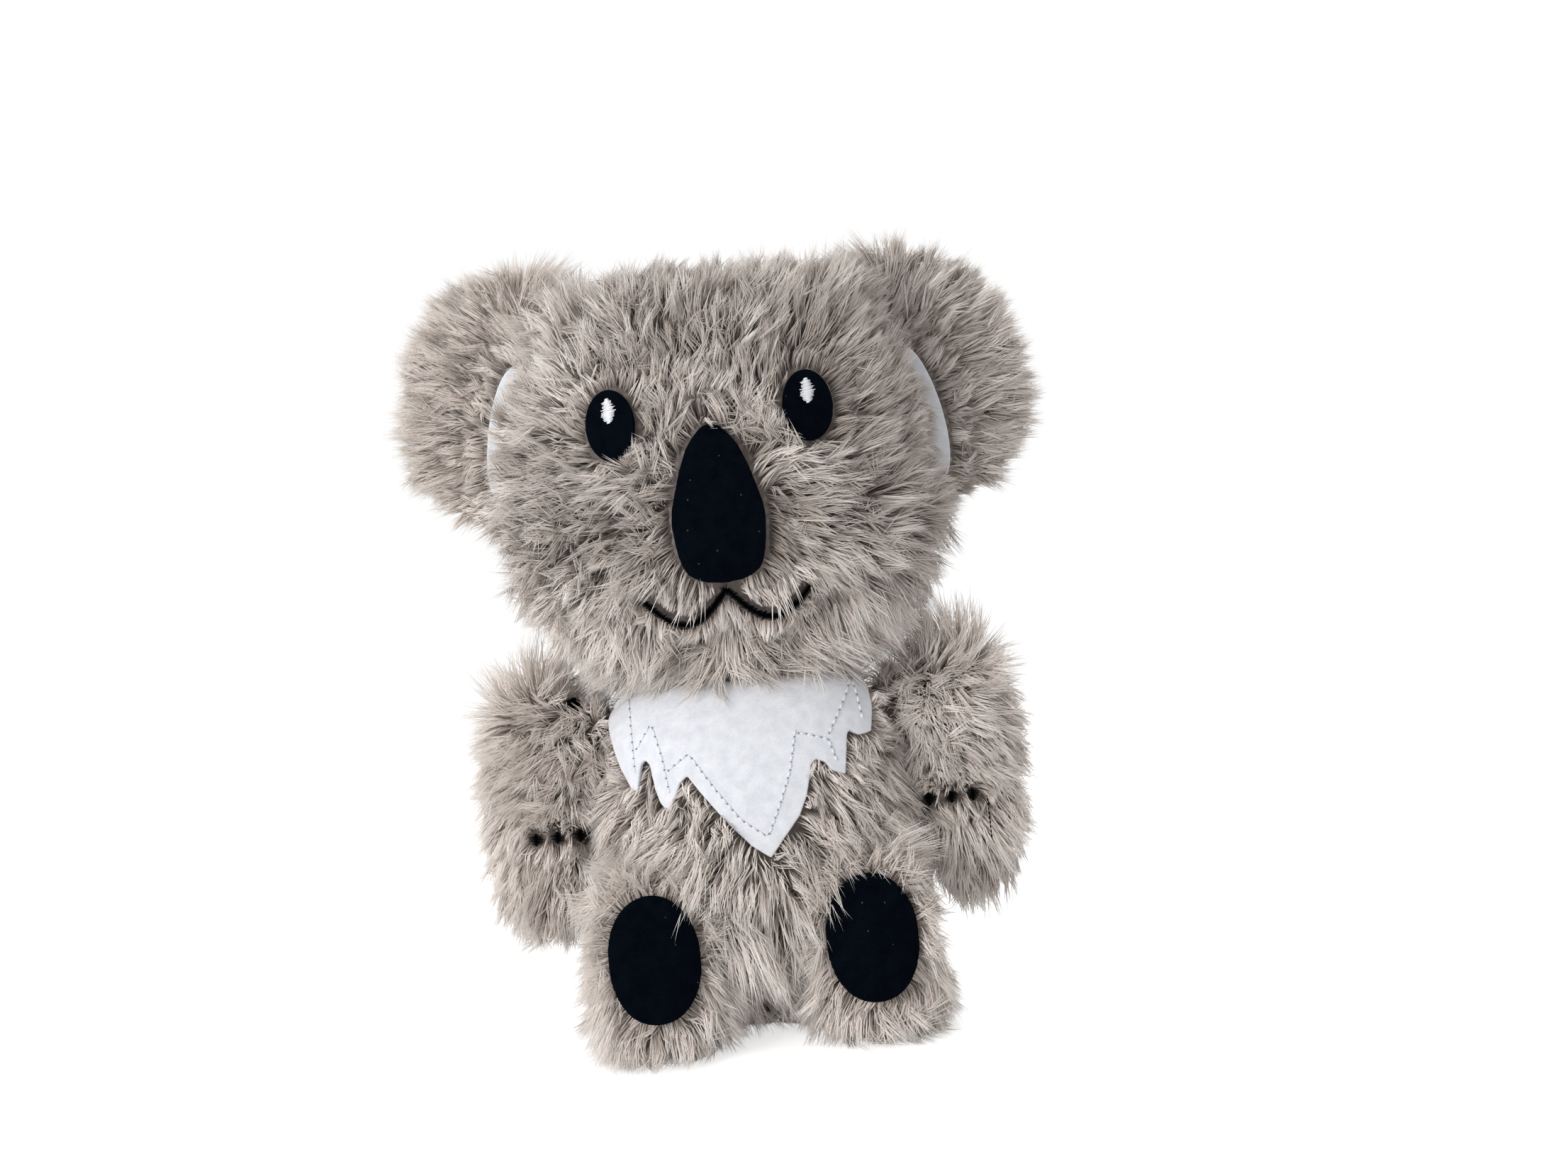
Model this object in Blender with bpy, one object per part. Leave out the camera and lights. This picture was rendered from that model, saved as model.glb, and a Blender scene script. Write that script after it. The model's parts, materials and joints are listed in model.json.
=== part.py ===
"""Plush koala, sitting upright: sewn fur panels over stuffed forms, with felt eyes, nose, bib and soles.

Metres, +Z up. The toy sits on the plane z = 0 and faces -Y, so its own left side is +X.
Every stuffed form is made three times from the same values: its outside, its outside less the
fabric, and its filling. The panels are what lies between the first two, split at the seams."""

import math
from dataclasses import dataclass

import bmesh
import bpy
from mathutils import Matrix, Vector

# Cloth, thread and clearances
FABRIC_THICKNESS = 0.006
SEAM_GAP = 0.0003
SEAT_GAP = 0.0003
FILLING_GAP = 0.0004
JOINT_PLAY = 0.0006
FLAT_CUT = 0.0005
CUT_OVERRUN = 0.02

# Torso
TORSO_HEIGHT = 0.108
TORSO_HALF_WIDTH = 0.050
TORSO_FLAT_SIDE = 0.0437
TORSO_FRONT = 0.041
TORSO_BACK = 0.037
TORSO_SEAM_MARGIN = 0.002
TORSO_PLAN_POWER = 2.4
TORSO_SIDE_POWER = 3.6
TORSO_FOOT_POWER = 6.0
BELLY_BULGE = 0.007
BELLY_HALF_WIDTH = 0.036
BELLY_HALF_HEIGHT = 0.032
BELLY_DROP = 0.008

# Neck
NECK_RADIUS = 0.020
NECK_SINK = 0.0035
NECK_OPENING = 0.0035

# Head
HEAD_HALF_WIDTH = 0.069
HEAD_UP = 0.070
HEAD_DOWN = 0.054
HEAD_FRONT = 0.050
HEAD_BACK = 0.048
HEAD_SEAM_Y = 0.008
HEAD_PLAN_POWER = 2.2
HEAD_SIDE_POWER = 2.85
HEAD_FOOT_POWER = 2.5
MUZZLE_BULGE = 0.008
MUZZLE_HALF_WIDTH = 0.030
MUZZLE_HALF_HEIGHT = 0.024
MUZZLE_DROP = 0.021

# Ears
EAR_HALF_WIDTH = 0.038
EAR_HALF_HEIGHT = 0.043
EAR_HALF_THICKNESS = 0.0095
EAR_POWER = 2.2
EAR_OUTSET = 0.006
EAR_RISE = 0.004
EAR_HINGE_SIDE_SHARE = 0.84
EAR_HINGE_RISE = 0.028
EAR_TILT = math.radians(12)
EAR_SWING = math.radians(20)
EAR_FELT_HALF_WIDTH = 0.0058
EAR_FELT_HALF_HEIGHT = 0.0215
EAR_FELT_OUTSET = 0.0073
EAR_FELT_DROP = 0.011

# Arms
ARM_HALF_WIDTH = 0.0185
ARM_HALF_DEPTH = 0.017
ARM_HALF_LENGTH = 0.041
ARM_POWER = 2.4
ARM_OUTSET = 0.021
ARM_DROP = 0.016
ARM_ROOT_RADIUS = 0.0135
SHOULDER_HEIGHT = 0.088
SHOULDER_Y = 0.002
ARM_LEAN = math.radians(10)

# Legs
LEG_HALF_WIDTH = 0.0205
LEG_HALF_HEIGHT = 0.028
LEG_HALF_LENGTH = 0.028
LEG_PLAN_POWER = 2.6
LEG_SIDE_POWER = 4.0
LEG_FOOT_POWER = 6.0
LEG_FORWARD = 0.016
HIP_SIDE = 0.031
HIP_Y = -0.014
LEG_SWING_UP = math.radians(8)
LEG_SWING_DOWN = math.radians(50)

# Felt and thread
FELT_THICKNESS = 0.0015
THREAD_HEIGHT = 0.0008
EYE_SPACING = 0.0568
EYE_WIDTH = 0.0143
EYE_HEIGHT = 0.0208
EYE_RISE = 0.0198
HIGHLIGHT_WIDTH = 0.0042
HIGHLIGHT_HEIGHT = 0.0074
HIGHLIGHT_RISE = 0.0041
NOSE_WIDTH = 0.0238
NOSE_HEIGHT = 0.0447
NOSE_DROP = 0.0055
NOSE_POWER = 2.6
NOSE_TAPER_SHARE = 0.36
MOUTH_HALF_WIDTH = 0.025
MOUTH_DEPTH = 0.0092
MOUTH_END_SHARE = 0.94
MOUTH_LINE = 0.002
SOLE_WIDTH = 0.0245
SOLE_HEIGHT = 0.035
SOLE_POWER = 2.2
SOLE_RISE = 0.0045
CLAW_WIDTH = 0.0046
CLAW_HEIGHT = 0.0036
CLAW_SPACING = 0.0065
CLAW_ROW_INSET = 0.0043
CLAW_ROW_DROP = 0.0275
TACK_WIDTH = 0.0044
TACK_HEIGHT = 0.0034
TACK_INSET = 0.010
TACK_TOP_INSET = 0.011
CLOSING_SEAM_LENGTH = 0.0150
CLOSING_SEAM_WIDTH = 0.0009
CLOSING_SEAM_DROP = 0.035
CLOSING_SEAM_OUTSET = 0.0065

# Chest bib: its outline in shares of its half width and of its height above its tip
BIB_HALF_WIDTH = 0.040
BIB_HEIGHT = 0.0445
BIB_TOP_DROP = 0.0075
BIB_OUTLINE_SHARES = (
    (-0.93, 1.00), (-1.00, 0.92), (-0.99, 0.81), (-0.93, 0.64), (-0.85, 0.49), (-0.80, 0.49),
    (-0.77, 0.65), (-0.73, 0.69), (-0.70, 0.65), (-0.64, 0.41), (-0.585, 0.34), (-0.52, 0.45),
    (-0.43, 0.565), (-0.17, 0.245), (0.115, 0.00), (0.34, 0.24), (0.41, 0.365), (0.46, 0.555),
    (0.50, 0.59), (0.56, 0.565), (0.61, 0.50), (0.70, 0.465), (0.725, 0.595), (0.745, 0.72),
    (0.77, 0.735), (0.84, 0.70), (0.925, 0.705), (0.96, 0.86), (0.95, 0.93), (0.88, 1.00),
)

# Care label
LABEL_LENGTH = 0.016
LABEL_HEIGHT = 0.015
LABEL_THICKNESS = 0.0008
LABEL_Z = 0.031
LABEL_TURN = math.radians(40)

# Mesh counts
HEAD_SEGMENTS, HEAD_RINGS = 20, 10
TORSO_SEGMENTS, TORSO_RINGS = 16, 10
LIMB_SEGMENTS, LIMB_RINGS = 12, 8
BALL_SEGMENTS, BALL_RINGS = 16, 10
ARC_STEP = math.radians(20)
OUTLINE_POINTS = 20
MOUTH_POINTS = 9
SMOOTH_ANGLE = math.radians(35)

# Places that follow from the sizes
TORSO_MIDDLE = Vector((0, 0, TORSO_HEIGHT / 2 - FLAT_CUT))
TORSO_TOP = TORSO_HEIGHT - FLAT_CUT
NECK_CENTRE = Vector((0, SHOULDER_Y, TORSO_TOP - NECK_SINK))
HEAD_MIDDLE = Vector((0, 0, TORSO_TOP + NECK_OPENING + HEAD_DOWN))
HIP_HEIGHT = LEG_HALF_HEIGHT - FLAT_CUT
TORSO_SEAM_Y = HIP_Y + LEG_HALF_HEIGHT + JOINT_PLAY + TORSO_SEAM_MARGIN
SOLE_FRONT = HIP_Y - LEG_FORWARD - LEG_HALF_LENGTH - SEAT_GAP - FELT_THICKNESS
TOY_Y = -(SOLE_FRONT + HEAD_BACK) / 2
EAR_SLOT_RADIUS = EAR_HALF_THICKNESS + SEAT_GAP + FELT_THICKNESS + JOINT_PLAY
MIRROR = Matrix.Scale(-1, 4, (1, 0, 0))
TO_FLOOR = Matrix.Translation((0, TOY_Y, 0))


@dataclass(frozen=True)
class Bulge:
    """A swelling at the front of a form: its depth, how far it spreads, and its height above the middle."""

    depth: float
    half_width: float
    half_height: float
    rise: float = 0.0


@dataclass(frozen=True)
class Form:
    """A stuffed form: its half sizes each way from its middle, how square it is, and any bulge at the front.

    The powers are a superellipse's: 2 is round, and more is squarer. foot_power is for the lower half."""

    middle: Vector
    side: float
    front: float
    back: float
    up: float
    down: float
    plan_power: float
    side_power: float
    foot_power: float
    segments: int
    rings: int
    bulge: Bulge | None = None


TORSO = Form(
    TORSO_MIDDLE, TORSO_HALF_WIDTH, TORSO_FRONT, TORSO_BACK, TORSO_HEIGHT / 2, TORSO_HEIGHT / 2,
    TORSO_PLAN_POWER, TORSO_SIDE_POWER, TORSO_FOOT_POWER, TORSO_SEGMENTS, TORSO_RINGS,
    Bulge(BELLY_BULGE, BELLY_HALF_WIDTH, BELLY_HALF_HEIGHT, -BELLY_DROP),
)
HEAD = Form(
    HEAD_MIDDLE, HEAD_HALF_WIDTH, HEAD_FRONT, HEAD_BACK, HEAD_UP, HEAD_DOWN,
    HEAD_PLAN_POWER, HEAD_SIDE_POWER, HEAD_FOOT_POWER, HEAD_SEGMENTS, HEAD_RINGS,
    Bulge(MUZZLE_BULGE, MUZZLE_HALF_WIDTH, MUZZLE_HALF_HEIGHT, -MUZZLE_DROP),
)
EAR = Form(
    Vector((EAR_OUTSET, 0, EAR_RISE)), EAR_HALF_WIDTH, EAR_HALF_THICKNESS, EAR_HALF_THICKNESS,
    EAR_HALF_HEIGHT, EAR_HALF_HEIGHT, EAR_POWER, EAR_POWER, EAR_POWER, LIMB_SEGMENTS, LIMB_RINGS,
)
ARM = Form(
    Vector((ARM_OUTSET, 0, -ARM_DROP)), ARM_HALF_WIDTH, ARM_HALF_DEPTH, ARM_HALF_DEPTH,
    ARM_HALF_LENGTH, ARM_HALF_LENGTH, ARM_POWER, ARM_POWER, ARM_POWER, LIMB_SEGMENTS, LIMB_RINGS,
)
LEG = Form(
    Vector((0, -LEG_FORWARD, 0)), LEG_HALF_WIDTH, LEG_HALF_LENGTH, LEG_HALF_LENGTH,
    LEG_HALF_HEIGHT, LEG_HALF_HEIGHT, LEG_PLAN_POWER, LEG_SIDE_POWER, LEG_FOOT_POWER,
    LIMB_SEGMENTS, LIMB_RINGS,
)

# Frames of the moving bodies, each with its origin on its joint, for the toy's left side
EAR_HINGE = Vector((HEAD_HALF_WIDTH * EAR_HINGE_SIDE_SHARE, HEAD_SEAM_Y, HEAD_MIDDLE.z + EAR_HINGE_RISE))
EAR_FRAME = Matrix.Translation(EAR_HINGE) @ Matrix.Rotation(-EAR_TILT, 4, "Y")
ARM_FRAME = (
    Matrix.Translation((TORSO_FLAT_SIDE + JOINT_PLAY, SHOULDER_Y, SHOULDER_HEIGHT))
    @ Matrix.Rotation(-ARM_LEAN, 4, "X")
)
LEG_FRAME = Matrix.Translation((HIP_SIDE, HIP_Y, HIP_HEIGHT))
FORWARD_FRAME = Matrix(((0, 0, 1, 0), (-1, 0, 0, 0), (0, 1, 0, 0), (0, 0, 0, 1)))


def signed_power(value, power):
    """The value's size raised to a power, with its sign kept."""
    return math.copysign(abs(value) ** power, value)


def mesh_object(name, shape):
    """A scene object from a bmesh, with its faces pointing out."""
    bmesh.ops.recalc_face_normals(shape, faces=shape.faces)
    mesh = bpy.data.meshes.new(name)
    shape.to_mesh(mesh)
    shape.free()
    made = bpy.data.objects.new(name, mesh)
    bpy.context.scene.collection.objects.link(made)
    return made


def rounded(form, inset=0.0):
    """The form as a closed skin, drawn in by inset all round."""
    shape = bmesh.new()
    bmesh.ops.create_uvsphere(shape, u_segments=form.segments, v_segments=form.rings, radius=1)
    for vertex in shape.verts:
        x, y, z = vertex.co
        across = math.hypot(x, y)
        power = form.side_power if z > 0 else form.foot_power
        level = across ** (2 / power)
        if across > 0:
            x = level * signed_power(x / across, 2 / form.plan_power)
            y = level * signed_power(y / across, 2 / form.plan_power)
        z = signed_power(z, 2 / power)
        x *= form.side - inset
        depth = form.front if y < 0 else form.back
        ahead = max(-y, 0)
        y *= depth - inset
        z *= (form.up if z > 0 else form.down) - inset
        if form.bulge:
            across, rise = x / form.bulge.half_width, (z - form.bulge.rise) / form.bulge.half_height
            y -= form.bulge.depth * math.exp(-(across ** 2) - rise ** 2) * ahead
        vertex.co = form.middle + Vector((x, y, z))
    bmesh.ops.triangulate(shape, faces=shape.faces, quad_method="FIXED")
    return mesh_object("form", shape)


def ball(radius, centre):
    """A ball about a centre."""
    shape = bmesh.new()
    bmesh.ops.create_uvsphere(shape, u_segments=BALL_SEGMENTS, v_segments=BALL_RINGS, radius=radius)
    bmesh.ops.translate(shape, verts=shape.verts, vec=centre)
    return mesh_object("ball", shape)


def hip(radius, half_width):
    """A round hip about the local X axis, drawn out or in along it."""
    shape = bmesh.new()
    bmesh.ops.create_uvsphere(shape, u_segments=LIMB_SEGMENTS, v_segments=LIMB_RINGS, radius=radius)
    bmesh.ops.rotate(shape, verts=shape.verts, matrix=Matrix.Rotation(math.pi / 2, 3, "Y"))
    bmesh.ops.scale(shape, verts=shape.verts, vec=(half_width / radius, 1, 1))
    return mesh_object("hip", shape)


def drum(radius, half_length):
    """A short cylinder about the local X axis."""
    shape = bmesh.new()
    bmesh.ops.create_cone(
        shape, cap_ends=True, segments=BALL_SEGMENTS, radius1=radius, radius2=radius, depth=2 * half_length
    )
    bmesh.ops.rotate(shape, verts=shape.verts, matrix=Matrix.Rotation(math.pi / 2, 3, "Y"))
    return mesh_object("drum", shape)


def block(low, high):
    """A box between two corners."""
    shape = bmesh.new()
    bmesh.ops.create_cube(shape, size=1)
    middle, size = (low + high) / 2, high - low
    bmesh.ops.scale(shape, verts=shape.verts, vec=size)
    bmesh.ops.translate(shape, verts=shape.verts, vec=middle)
    return mesh_object("block", shape)


def prism(points, low, high):
    """An outline in the plane of x and z, given depth from y = low to y = high."""
    shape = bmesh.new()
    face = shape.faces.new([shape.verts.new((x, low, z)) for x, z in points])
    grown = bmesh.ops.extrude_face_region(shape, geom=[face])
    moved = [item for item in grown["geom"] if isinstance(item, bmesh.types.BMVert)]
    bmesh.ops.translate(shape, verts=moved, vec=(0, high - low, 0))
    return mesh_object("prism", shape)


def fan(radius, reach, low_angle, high_angle, half_height):
    """The space that a round-ended flap of this radius sweeps about its hinge, the local Z axis.

    The flap points along local X, and swings from low_angle to high_angle towards local Y."""
    shape = bmesh.new()
    start, end = high_angle + math.pi / 2, low_angle + 3 * math.pi / 2
    steps = max(round((end - start) / ARC_STEP), 2)
    angles = [start + (end - start) * i / steps for i in range(steps + 1)]
    points = [Vector((radius * math.cos(a), radius * math.sin(a), -half_height)) for a in angles]
    far_low = points[-1] + reach * Vector((math.cos(low_angle), math.sin(low_angle), 0))
    far_high = points[0] + reach * Vector((math.cos(high_angle), math.sin(high_angle), 0))
    face = shape.faces.new([shape.verts.new(p) for p in (*points, far_low, far_high)])
    grown = bmesh.ops.extrude_face_region(shape, geom=[face])
    moved = [item for item in grown["geom"] if isinstance(item, bmesh.types.BMVert)]
    bmesh.ops.translate(shape, verts=moved, vec=(0, 0, 2 * half_height))
    return mesh_object("fan", shape)


def placed(item, matrix):
    """The object with a placement put into its mesh, and its faces kept pointing out."""
    item.data.transform(matrix)
    if matrix.determinant() < 0:
        item.data.flip_normals()
    return item


def copied(item, matrix=None):
    """A second object with its own copy of the mesh."""
    twin = item.copy()
    twin.data = item.data.copy()
    bpy.context.scene.collection.objects.link(twin)
    return placed(twin, matrix or Matrix.Identity(4))


def combine(target, operation, *others):
    """The target joined with, cut by or kept inside the others, which are used up."""
    for other in others:
        modifier = target.modifiers.new(operation, "BOOLEAN")
        modifier.operation, modifier.solver, modifier.object = operation, "EXACT", other
        evaluated = target.evaluated_get(bpy.context.evaluated_depsgraph_get())
        result = bpy.data.meshes.new_from_object(evaluated)
        target.modifiers.clear()
        target.data = result
        bpy.data.objects.remove(other)
    return target


def ellipse(width, height, x=0.0, z=0.0, power=2.0, taper=0.0):
    """Points round an oval; a taper narrows its top and widens its foot by that share."""
    points = []
    for index in range(OUTLINE_POINTS):
        angle = 2 * math.pi * index / OUTLINE_POINTS
        across = signed_power(math.cos(angle), 2 / power)
        rise = signed_power(math.sin(angle), 2 / power)
        points.append((x + width / 2 * across * (1 - taper * rise), z + height / 2 * rise))
    return points


def applique(form, outline, thickness, lift=SEAT_GAP):
    """A flat piece of this outline laid on the front of a form, following its surface."""
    depth = 2 * form.front
    piece = rounded(form, -(lift + thickness))
    combine(piece, "DIFFERENCE", rounded(form, -lift))
    middle = form.middle
    cutter = prism([(middle.x + x, middle.z + z) for x, z in outline], middle.y - depth, middle.y)
    return combine(piece, "INTERSECT", cutter)


def torso_solid(inset):
    """The torso with its flat sides and bottom, its neck cup and its two hip pockets, drawn in by inset."""
    solid = rounded(TORSO, inset)
    side, depth = TORSO_FLAT_SIDE - inset, TORSO_FRONT + TORSO_BACK
    low = Vector((-side, -depth, 0 if inset == 0 else -CUT_OVERRUN))
    combine(solid, "INTERSECT", block(low, Vector((side, depth, TORSO_HEIGHT + CUT_OVERRUN))))
    combine(solid, "DIFFERENCE", ball(NECK_RADIUS + JOINT_PLAY + inset, NECK_CENTRE))
    pocket = fan(
        LEG_HALF_HEIGHT + JOINT_PLAY + inset, 2 * LEG_FORWARD + LEG_HALF_LENGTH,
        -LEG_SWING_DOWN, LEG_SWING_UP, LEG_HALF_WIDTH + JOINT_PLAY + inset,
    )
    placed(pocket, LEG_FRAME @ FORWARD_FRAME)
    twin = copied(pocket, MIRROR)
    return combine(solid, "DIFFERENCE", pocket, twin)


def head_solid(inset):
    """The head with its neck cup and the slots that its ears fold in, drawn in by inset."""
    solid = rounded(HEAD, inset)
    combine(solid, "DIFFERENCE", ball(NECK_RADIUS + JOINT_PLAY + inset, NECK_CENTRE))
    slot = fan(
        EAR_SLOT_RADIUS + inset, EAR_HALF_WIDTH, -EAR_SWING, EAR_SWING,
        EAR_HALF_HEIGHT + JOINT_PLAY + inset,
    )
    placed(slot, EAR_FRAME @ Matrix.Translation((0, 0, EAR_RISE)))
    twin = copied(slot, MIRROR)
    return combine(solid, "DIFFERENCE", slot, twin)


def ear_solid(inset):
    """The ear in its own frame, with a round root about the fold line, drawn in by inset."""
    solid = rounded(EAR, inset)
    reach = EAR_HALF_WIDTH + EAR_HALF_HEIGHT
    behind = block(Vector((-reach, -reach, -reach)), Vector((0, reach, reach)))
    root = fan(EAR_SLOT_RADIUS - JOINT_PLAY - inset, reach, 0, 0, 2 * reach)
    combine(behind, "DIFFERENCE", root)
    return combine(solid, "DIFFERENCE", behind)


def arm_solid(inset):
    """The arm in its own frame: a hanging lobe with a flat-ended root against the torso's side."""
    solid = rounded(ARM, inset)
    root = drum(ARM_ROOT_RADIUS - inset, (ARM_OUTSET - inset) / 2)
    return combine(solid, "UNION", placed(root, Matrix.Translation(((ARM_OUTSET + inset) / 2, 0, 0))))


def leg_solid(inset):
    """The leg in its own frame: a foot that points forward, with a round hip about the swing line."""
    solid = rounded(LEG, inset)
    combine(solid, "UNION", hip(LEG_HALF_HEIGHT - inset, LEG_HALF_WIDTH - inset))
    if inset == 0:
        reach = LEG_FORWARD + LEG_HALF_LENGTH + CUT_OVERRUN
        under = block(Vector((-reach, -reach, -reach)), Vector((reach, reach, -HIP_HEIGHT)))
        combine(solid, "DIFFERENCE", under)
    return solid


def shell(solid_of):
    """The fabric of a form: its outside less its inside."""
    return combine(solid_of(0.0), "DIFFERENCE", solid_of(FABRIC_THICKNESS))


def filling(solid_of):
    """The stuffing of a form, clear of its fabric."""
    return solid_of(FABRIC_THICKNESS + FILLING_GAP)


def kept(source, low, high):
    """The part of a copy of source between two corners."""
    return combine(copied(source), "INTERSECT", block(Vector(low), Vector(high)))


def material(name, colour, roughness):
    """A plain finish."""
    made = bpy.data.materials.new(name)
    made.use_nodes = True
    shader = made.node_tree.nodes["Principled BSDF"]
    shader.inputs["Base Color"].default_value = (*colour, 1)
    shader.inputs["Roughness"].default_value = roughness
    shader.inputs["Metallic"].default_value = 0
    return made


FUR = ("grey_fur", (0.36, 0.33, 0.30), 0.9)
STUFFING = ("polyester_stuffing", (0.85, 0.85, 0.83), 0.95)
DARK_FELT = ("black_felt", (0.006, 0.007, 0.012), 0.95)
WHITE_FELT = ("white_felt", (0.78, 0.80, 0.83), 0.95)
BLACK_THREAD = ("black_thread", (0.008, 0.008, 0.011), 0.6)
WHITE_THREAD = ("white_thread", (0.80, 0.80, 0.82), 0.5)
LABEL_TAPE = ("satin_tape", (0.80, 0.80, 0.78), 0.4)


def finished(item, name, finish, frame=None, joint=None):
    """Names an object, puts it in its place in the toy and gives it its own material."""
    placed(item, TO_FLOOR @ (frame or Matrix.Identity(4)))
    item.name = item.data.name = name
    item.data.materials.clear()
    item.data.materials.append(material(f"{name}_{finish[0]}", finish[1], finish[2]))
    if joint is not None:
        item.data.transform(joint.matrix_world.inverted())
        item.parent = joint
    item.data.set_sharp_from_angle(angle=SMOOTH_ANGLE)
    item.data.shade_smooth()
    return item


def joint_empty(name, place):
    """An empty on a joint's axis, which carries the pieces that move with it."""
    empty = bpy.data.objects.new(name, None)
    empty.location = TO_FLOOR @ place
    bpy.context.scene.collection.objects.link(empty)
    bpy.context.view_layer.update()
    return empty


def make_torso():
    """The torso's two panels and stuffing, the bib and the care label."""
    reach = TORSO_HEIGHT + CUT_OVERRUN
    cloth = shell(torso_solid)
    seam = TORSO_SEAM_Y - SEAM_GAP / 2, TORSO_SEAM_Y + SEAM_GAP / 2
    front = kept(cloth, (-reach, -reach, -reach), (reach, seam[0], reach))
    back = kept(cloth, (-reach, seam[1], -reach), (reach, reach, reach))
    bpy.data.objects.remove(cloth)
    finished(front, "torso_front_panel", FUR)
    finished(back, "torso_back_panel", FUR)
    finished(filling(torso_solid), "torso_stuffing", STUFFING)
    rise = TORSO_TOP - BIB_TOP_DROP - BIB_HEIGHT - TORSO_MIDDLE.z
    outline = [(BIB_HALF_WIDTH * x, rise + BIB_HEIGHT * z) for x, z in BIB_OUTLINE_SHARES]
    finished(applique(TORSO, outline, FELT_THICKNESS), "chest_bib", WHITE_FELT)
    half = Vector((LABEL_LENGTH, LABEL_THICKNESS, LABEL_HEIGHT)) / 2
    label = placed(block(-half, half), Matrix.Translation((half.x, 0, 0)))
    seat = TORSO_FLAT_SIDE + SEAT_GAP + half.y * math.sin(LABEL_TURN)
    turn = Matrix.Translation((seat, TORSO_SEAM_Y, LABEL_Z)) @ Matrix.Rotation(LABEL_TURN, 4, "Z")
    finished(label, "care_label", LABEL_TAPE, turn)


def make_neck(joint):
    """The ball of stuffing that the head nods and turns on."""
    finished(ball(NECK_RADIUS, NECK_CENTRE), "neck_stuffing", STUFFING, joint=joint)


def mouth_outline():
    """A band that dips from the nose's foot to each side and rises again at its ends."""
    half, count = MOUTH_LINE / 2, MOUTH_POINTS
    upper, lower = [], []
    for index in range(-count, count + 1):
        share = MOUTH_END_SHARE * index / count
        dip = math.sin(math.pi * abs(share))
        slope = math.copysign(math.pi, share) * math.cos(math.pi * share) * MOUTH_DEPTH / MOUTH_HALF_WIDTH
        normal = Vector((slope, 1)).normalized() if index else Vector((0, 1))
        spread = half / max(normal.y, MOUTH_END_SHARE) if index == 0 else half
        point = Vector((MOUTH_HALF_WIDTH * share, -MOUTH_DEPTH * dip))
        upper.append(point + spread * normal)
        lower.append(point - spread * normal)
    return upper + lower[::-1]


def make_head(joint):
    """The head's three panels, its stuffing and the face."""
    reach = HEAD_MIDDLE.z + HEAD_UP + CUT_OVERRUN
    cloth, gap = shell(head_solid), SEAM_GAP / 2
    left = kept(cloth, (gap, -reach, 0), (reach, HEAD_SEAM_Y - gap, reach))
    right = kept(cloth, (-reach, -reach, 0), (-gap, HEAD_SEAM_Y - gap, reach))
    back = kept(cloth, (-reach, HEAD_SEAM_Y + gap, 0), (reach, reach, reach))
    bpy.data.objects.remove(cloth)
    finished(left, "face_left_panel", FUR, joint=joint)
    finished(right, "face_right_panel", FUR, joint=joint)
    finished(back, "head_back_panel", FUR, joint=joint)
    finished(filling(head_solid), "head_stuffing", STUFFING, joint=joint)
    nose = ellipse(NOSE_WIDTH, NOSE_HEIGHT, 0, -NOSE_DROP, NOSE_POWER, NOSE_TAPER_SHARE)
    finished(applique(HEAD, nose, FELT_THICKNESS), "nose_felt", DARK_FELT, joint=joint)
    foot = -NOSE_DROP - NOSE_HEIGHT / 2 - MOUTH_LINE / 2 - SEAT_GAP
    mouth = [(x, foot + z) for x, z in mouth_outline()]
    finished(applique(HEAD, mouth, THREAD_HEIGHT), "mouth_embroidery", BLACK_THREAD, joint=joint)
    for name, side in (("left", 1), ("right", -1)):
        x = side * EYE_SPACING / 2
        eye = ellipse(EYE_WIDTH, EYE_HEIGHT, x, EYE_RISE)
        finished(applique(HEAD, eye, FELT_THICKNESS), f"{name}_eye_felt", DARK_FELT, joint=joint)
        light = ellipse(HIGHLIGHT_WIDTH, HIGHLIGHT_HEIGHT, x, EYE_RISE + HIGHLIGHT_RISE)
        lift = 2 * SEAT_GAP + FELT_THICKNESS
        piece = applique(HEAD, light, THREAD_HEIGHT, lift)
        finished(piece, f"{name}_eye_highlight", WHITE_THREAD, joint=joint)


def both_sides(parts, frame, joints):
    """Places each piece on the toy's left side and its mirror image on the right."""
    for label, finish, item in parts:
        twin = copied(item)
        finished(item, f"left_{label}", finish, frame, joints[0])
        finished(twin, f"right_{label}", finish, MIRROR @ frame, joints[1])


def make_ears(joints):
    """Each ear's two panels, its filling and its inner felt."""
    reach, gap = EAR_HALF_WIDTH + EAR_HALF_HEIGHT, SEAM_GAP / 2
    cloth = shell(ear_solid)
    outset = EAR_FELT_OUTSET - EAR_OUTSET
    outline = ellipse(2 * EAR_FELT_HALF_WIDTH, 2 * EAR_FELT_HALF_HEIGHT, outset, -EAR_FELT_DROP)
    felt = applique(EAR, outline, FELT_THICKNESS)
    parts = [
        ("ear_front_panel", FUR, kept(cloth, (-reach, -reach, -reach), (reach, -gap, reach))),
        ("ear_back_panel", FUR, kept(cloth, (-reach, gap, -reach), (reach, reach, reach))),
        ("ear_filling", STUFFING, filling(ear_solid)),
        ("inner_ear_felt", WHITE_FELT, felt),
    ]
    bpy.data.objects.remove(cloth)
    both_sides(parts, EAR_FRAME, joints)


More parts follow.
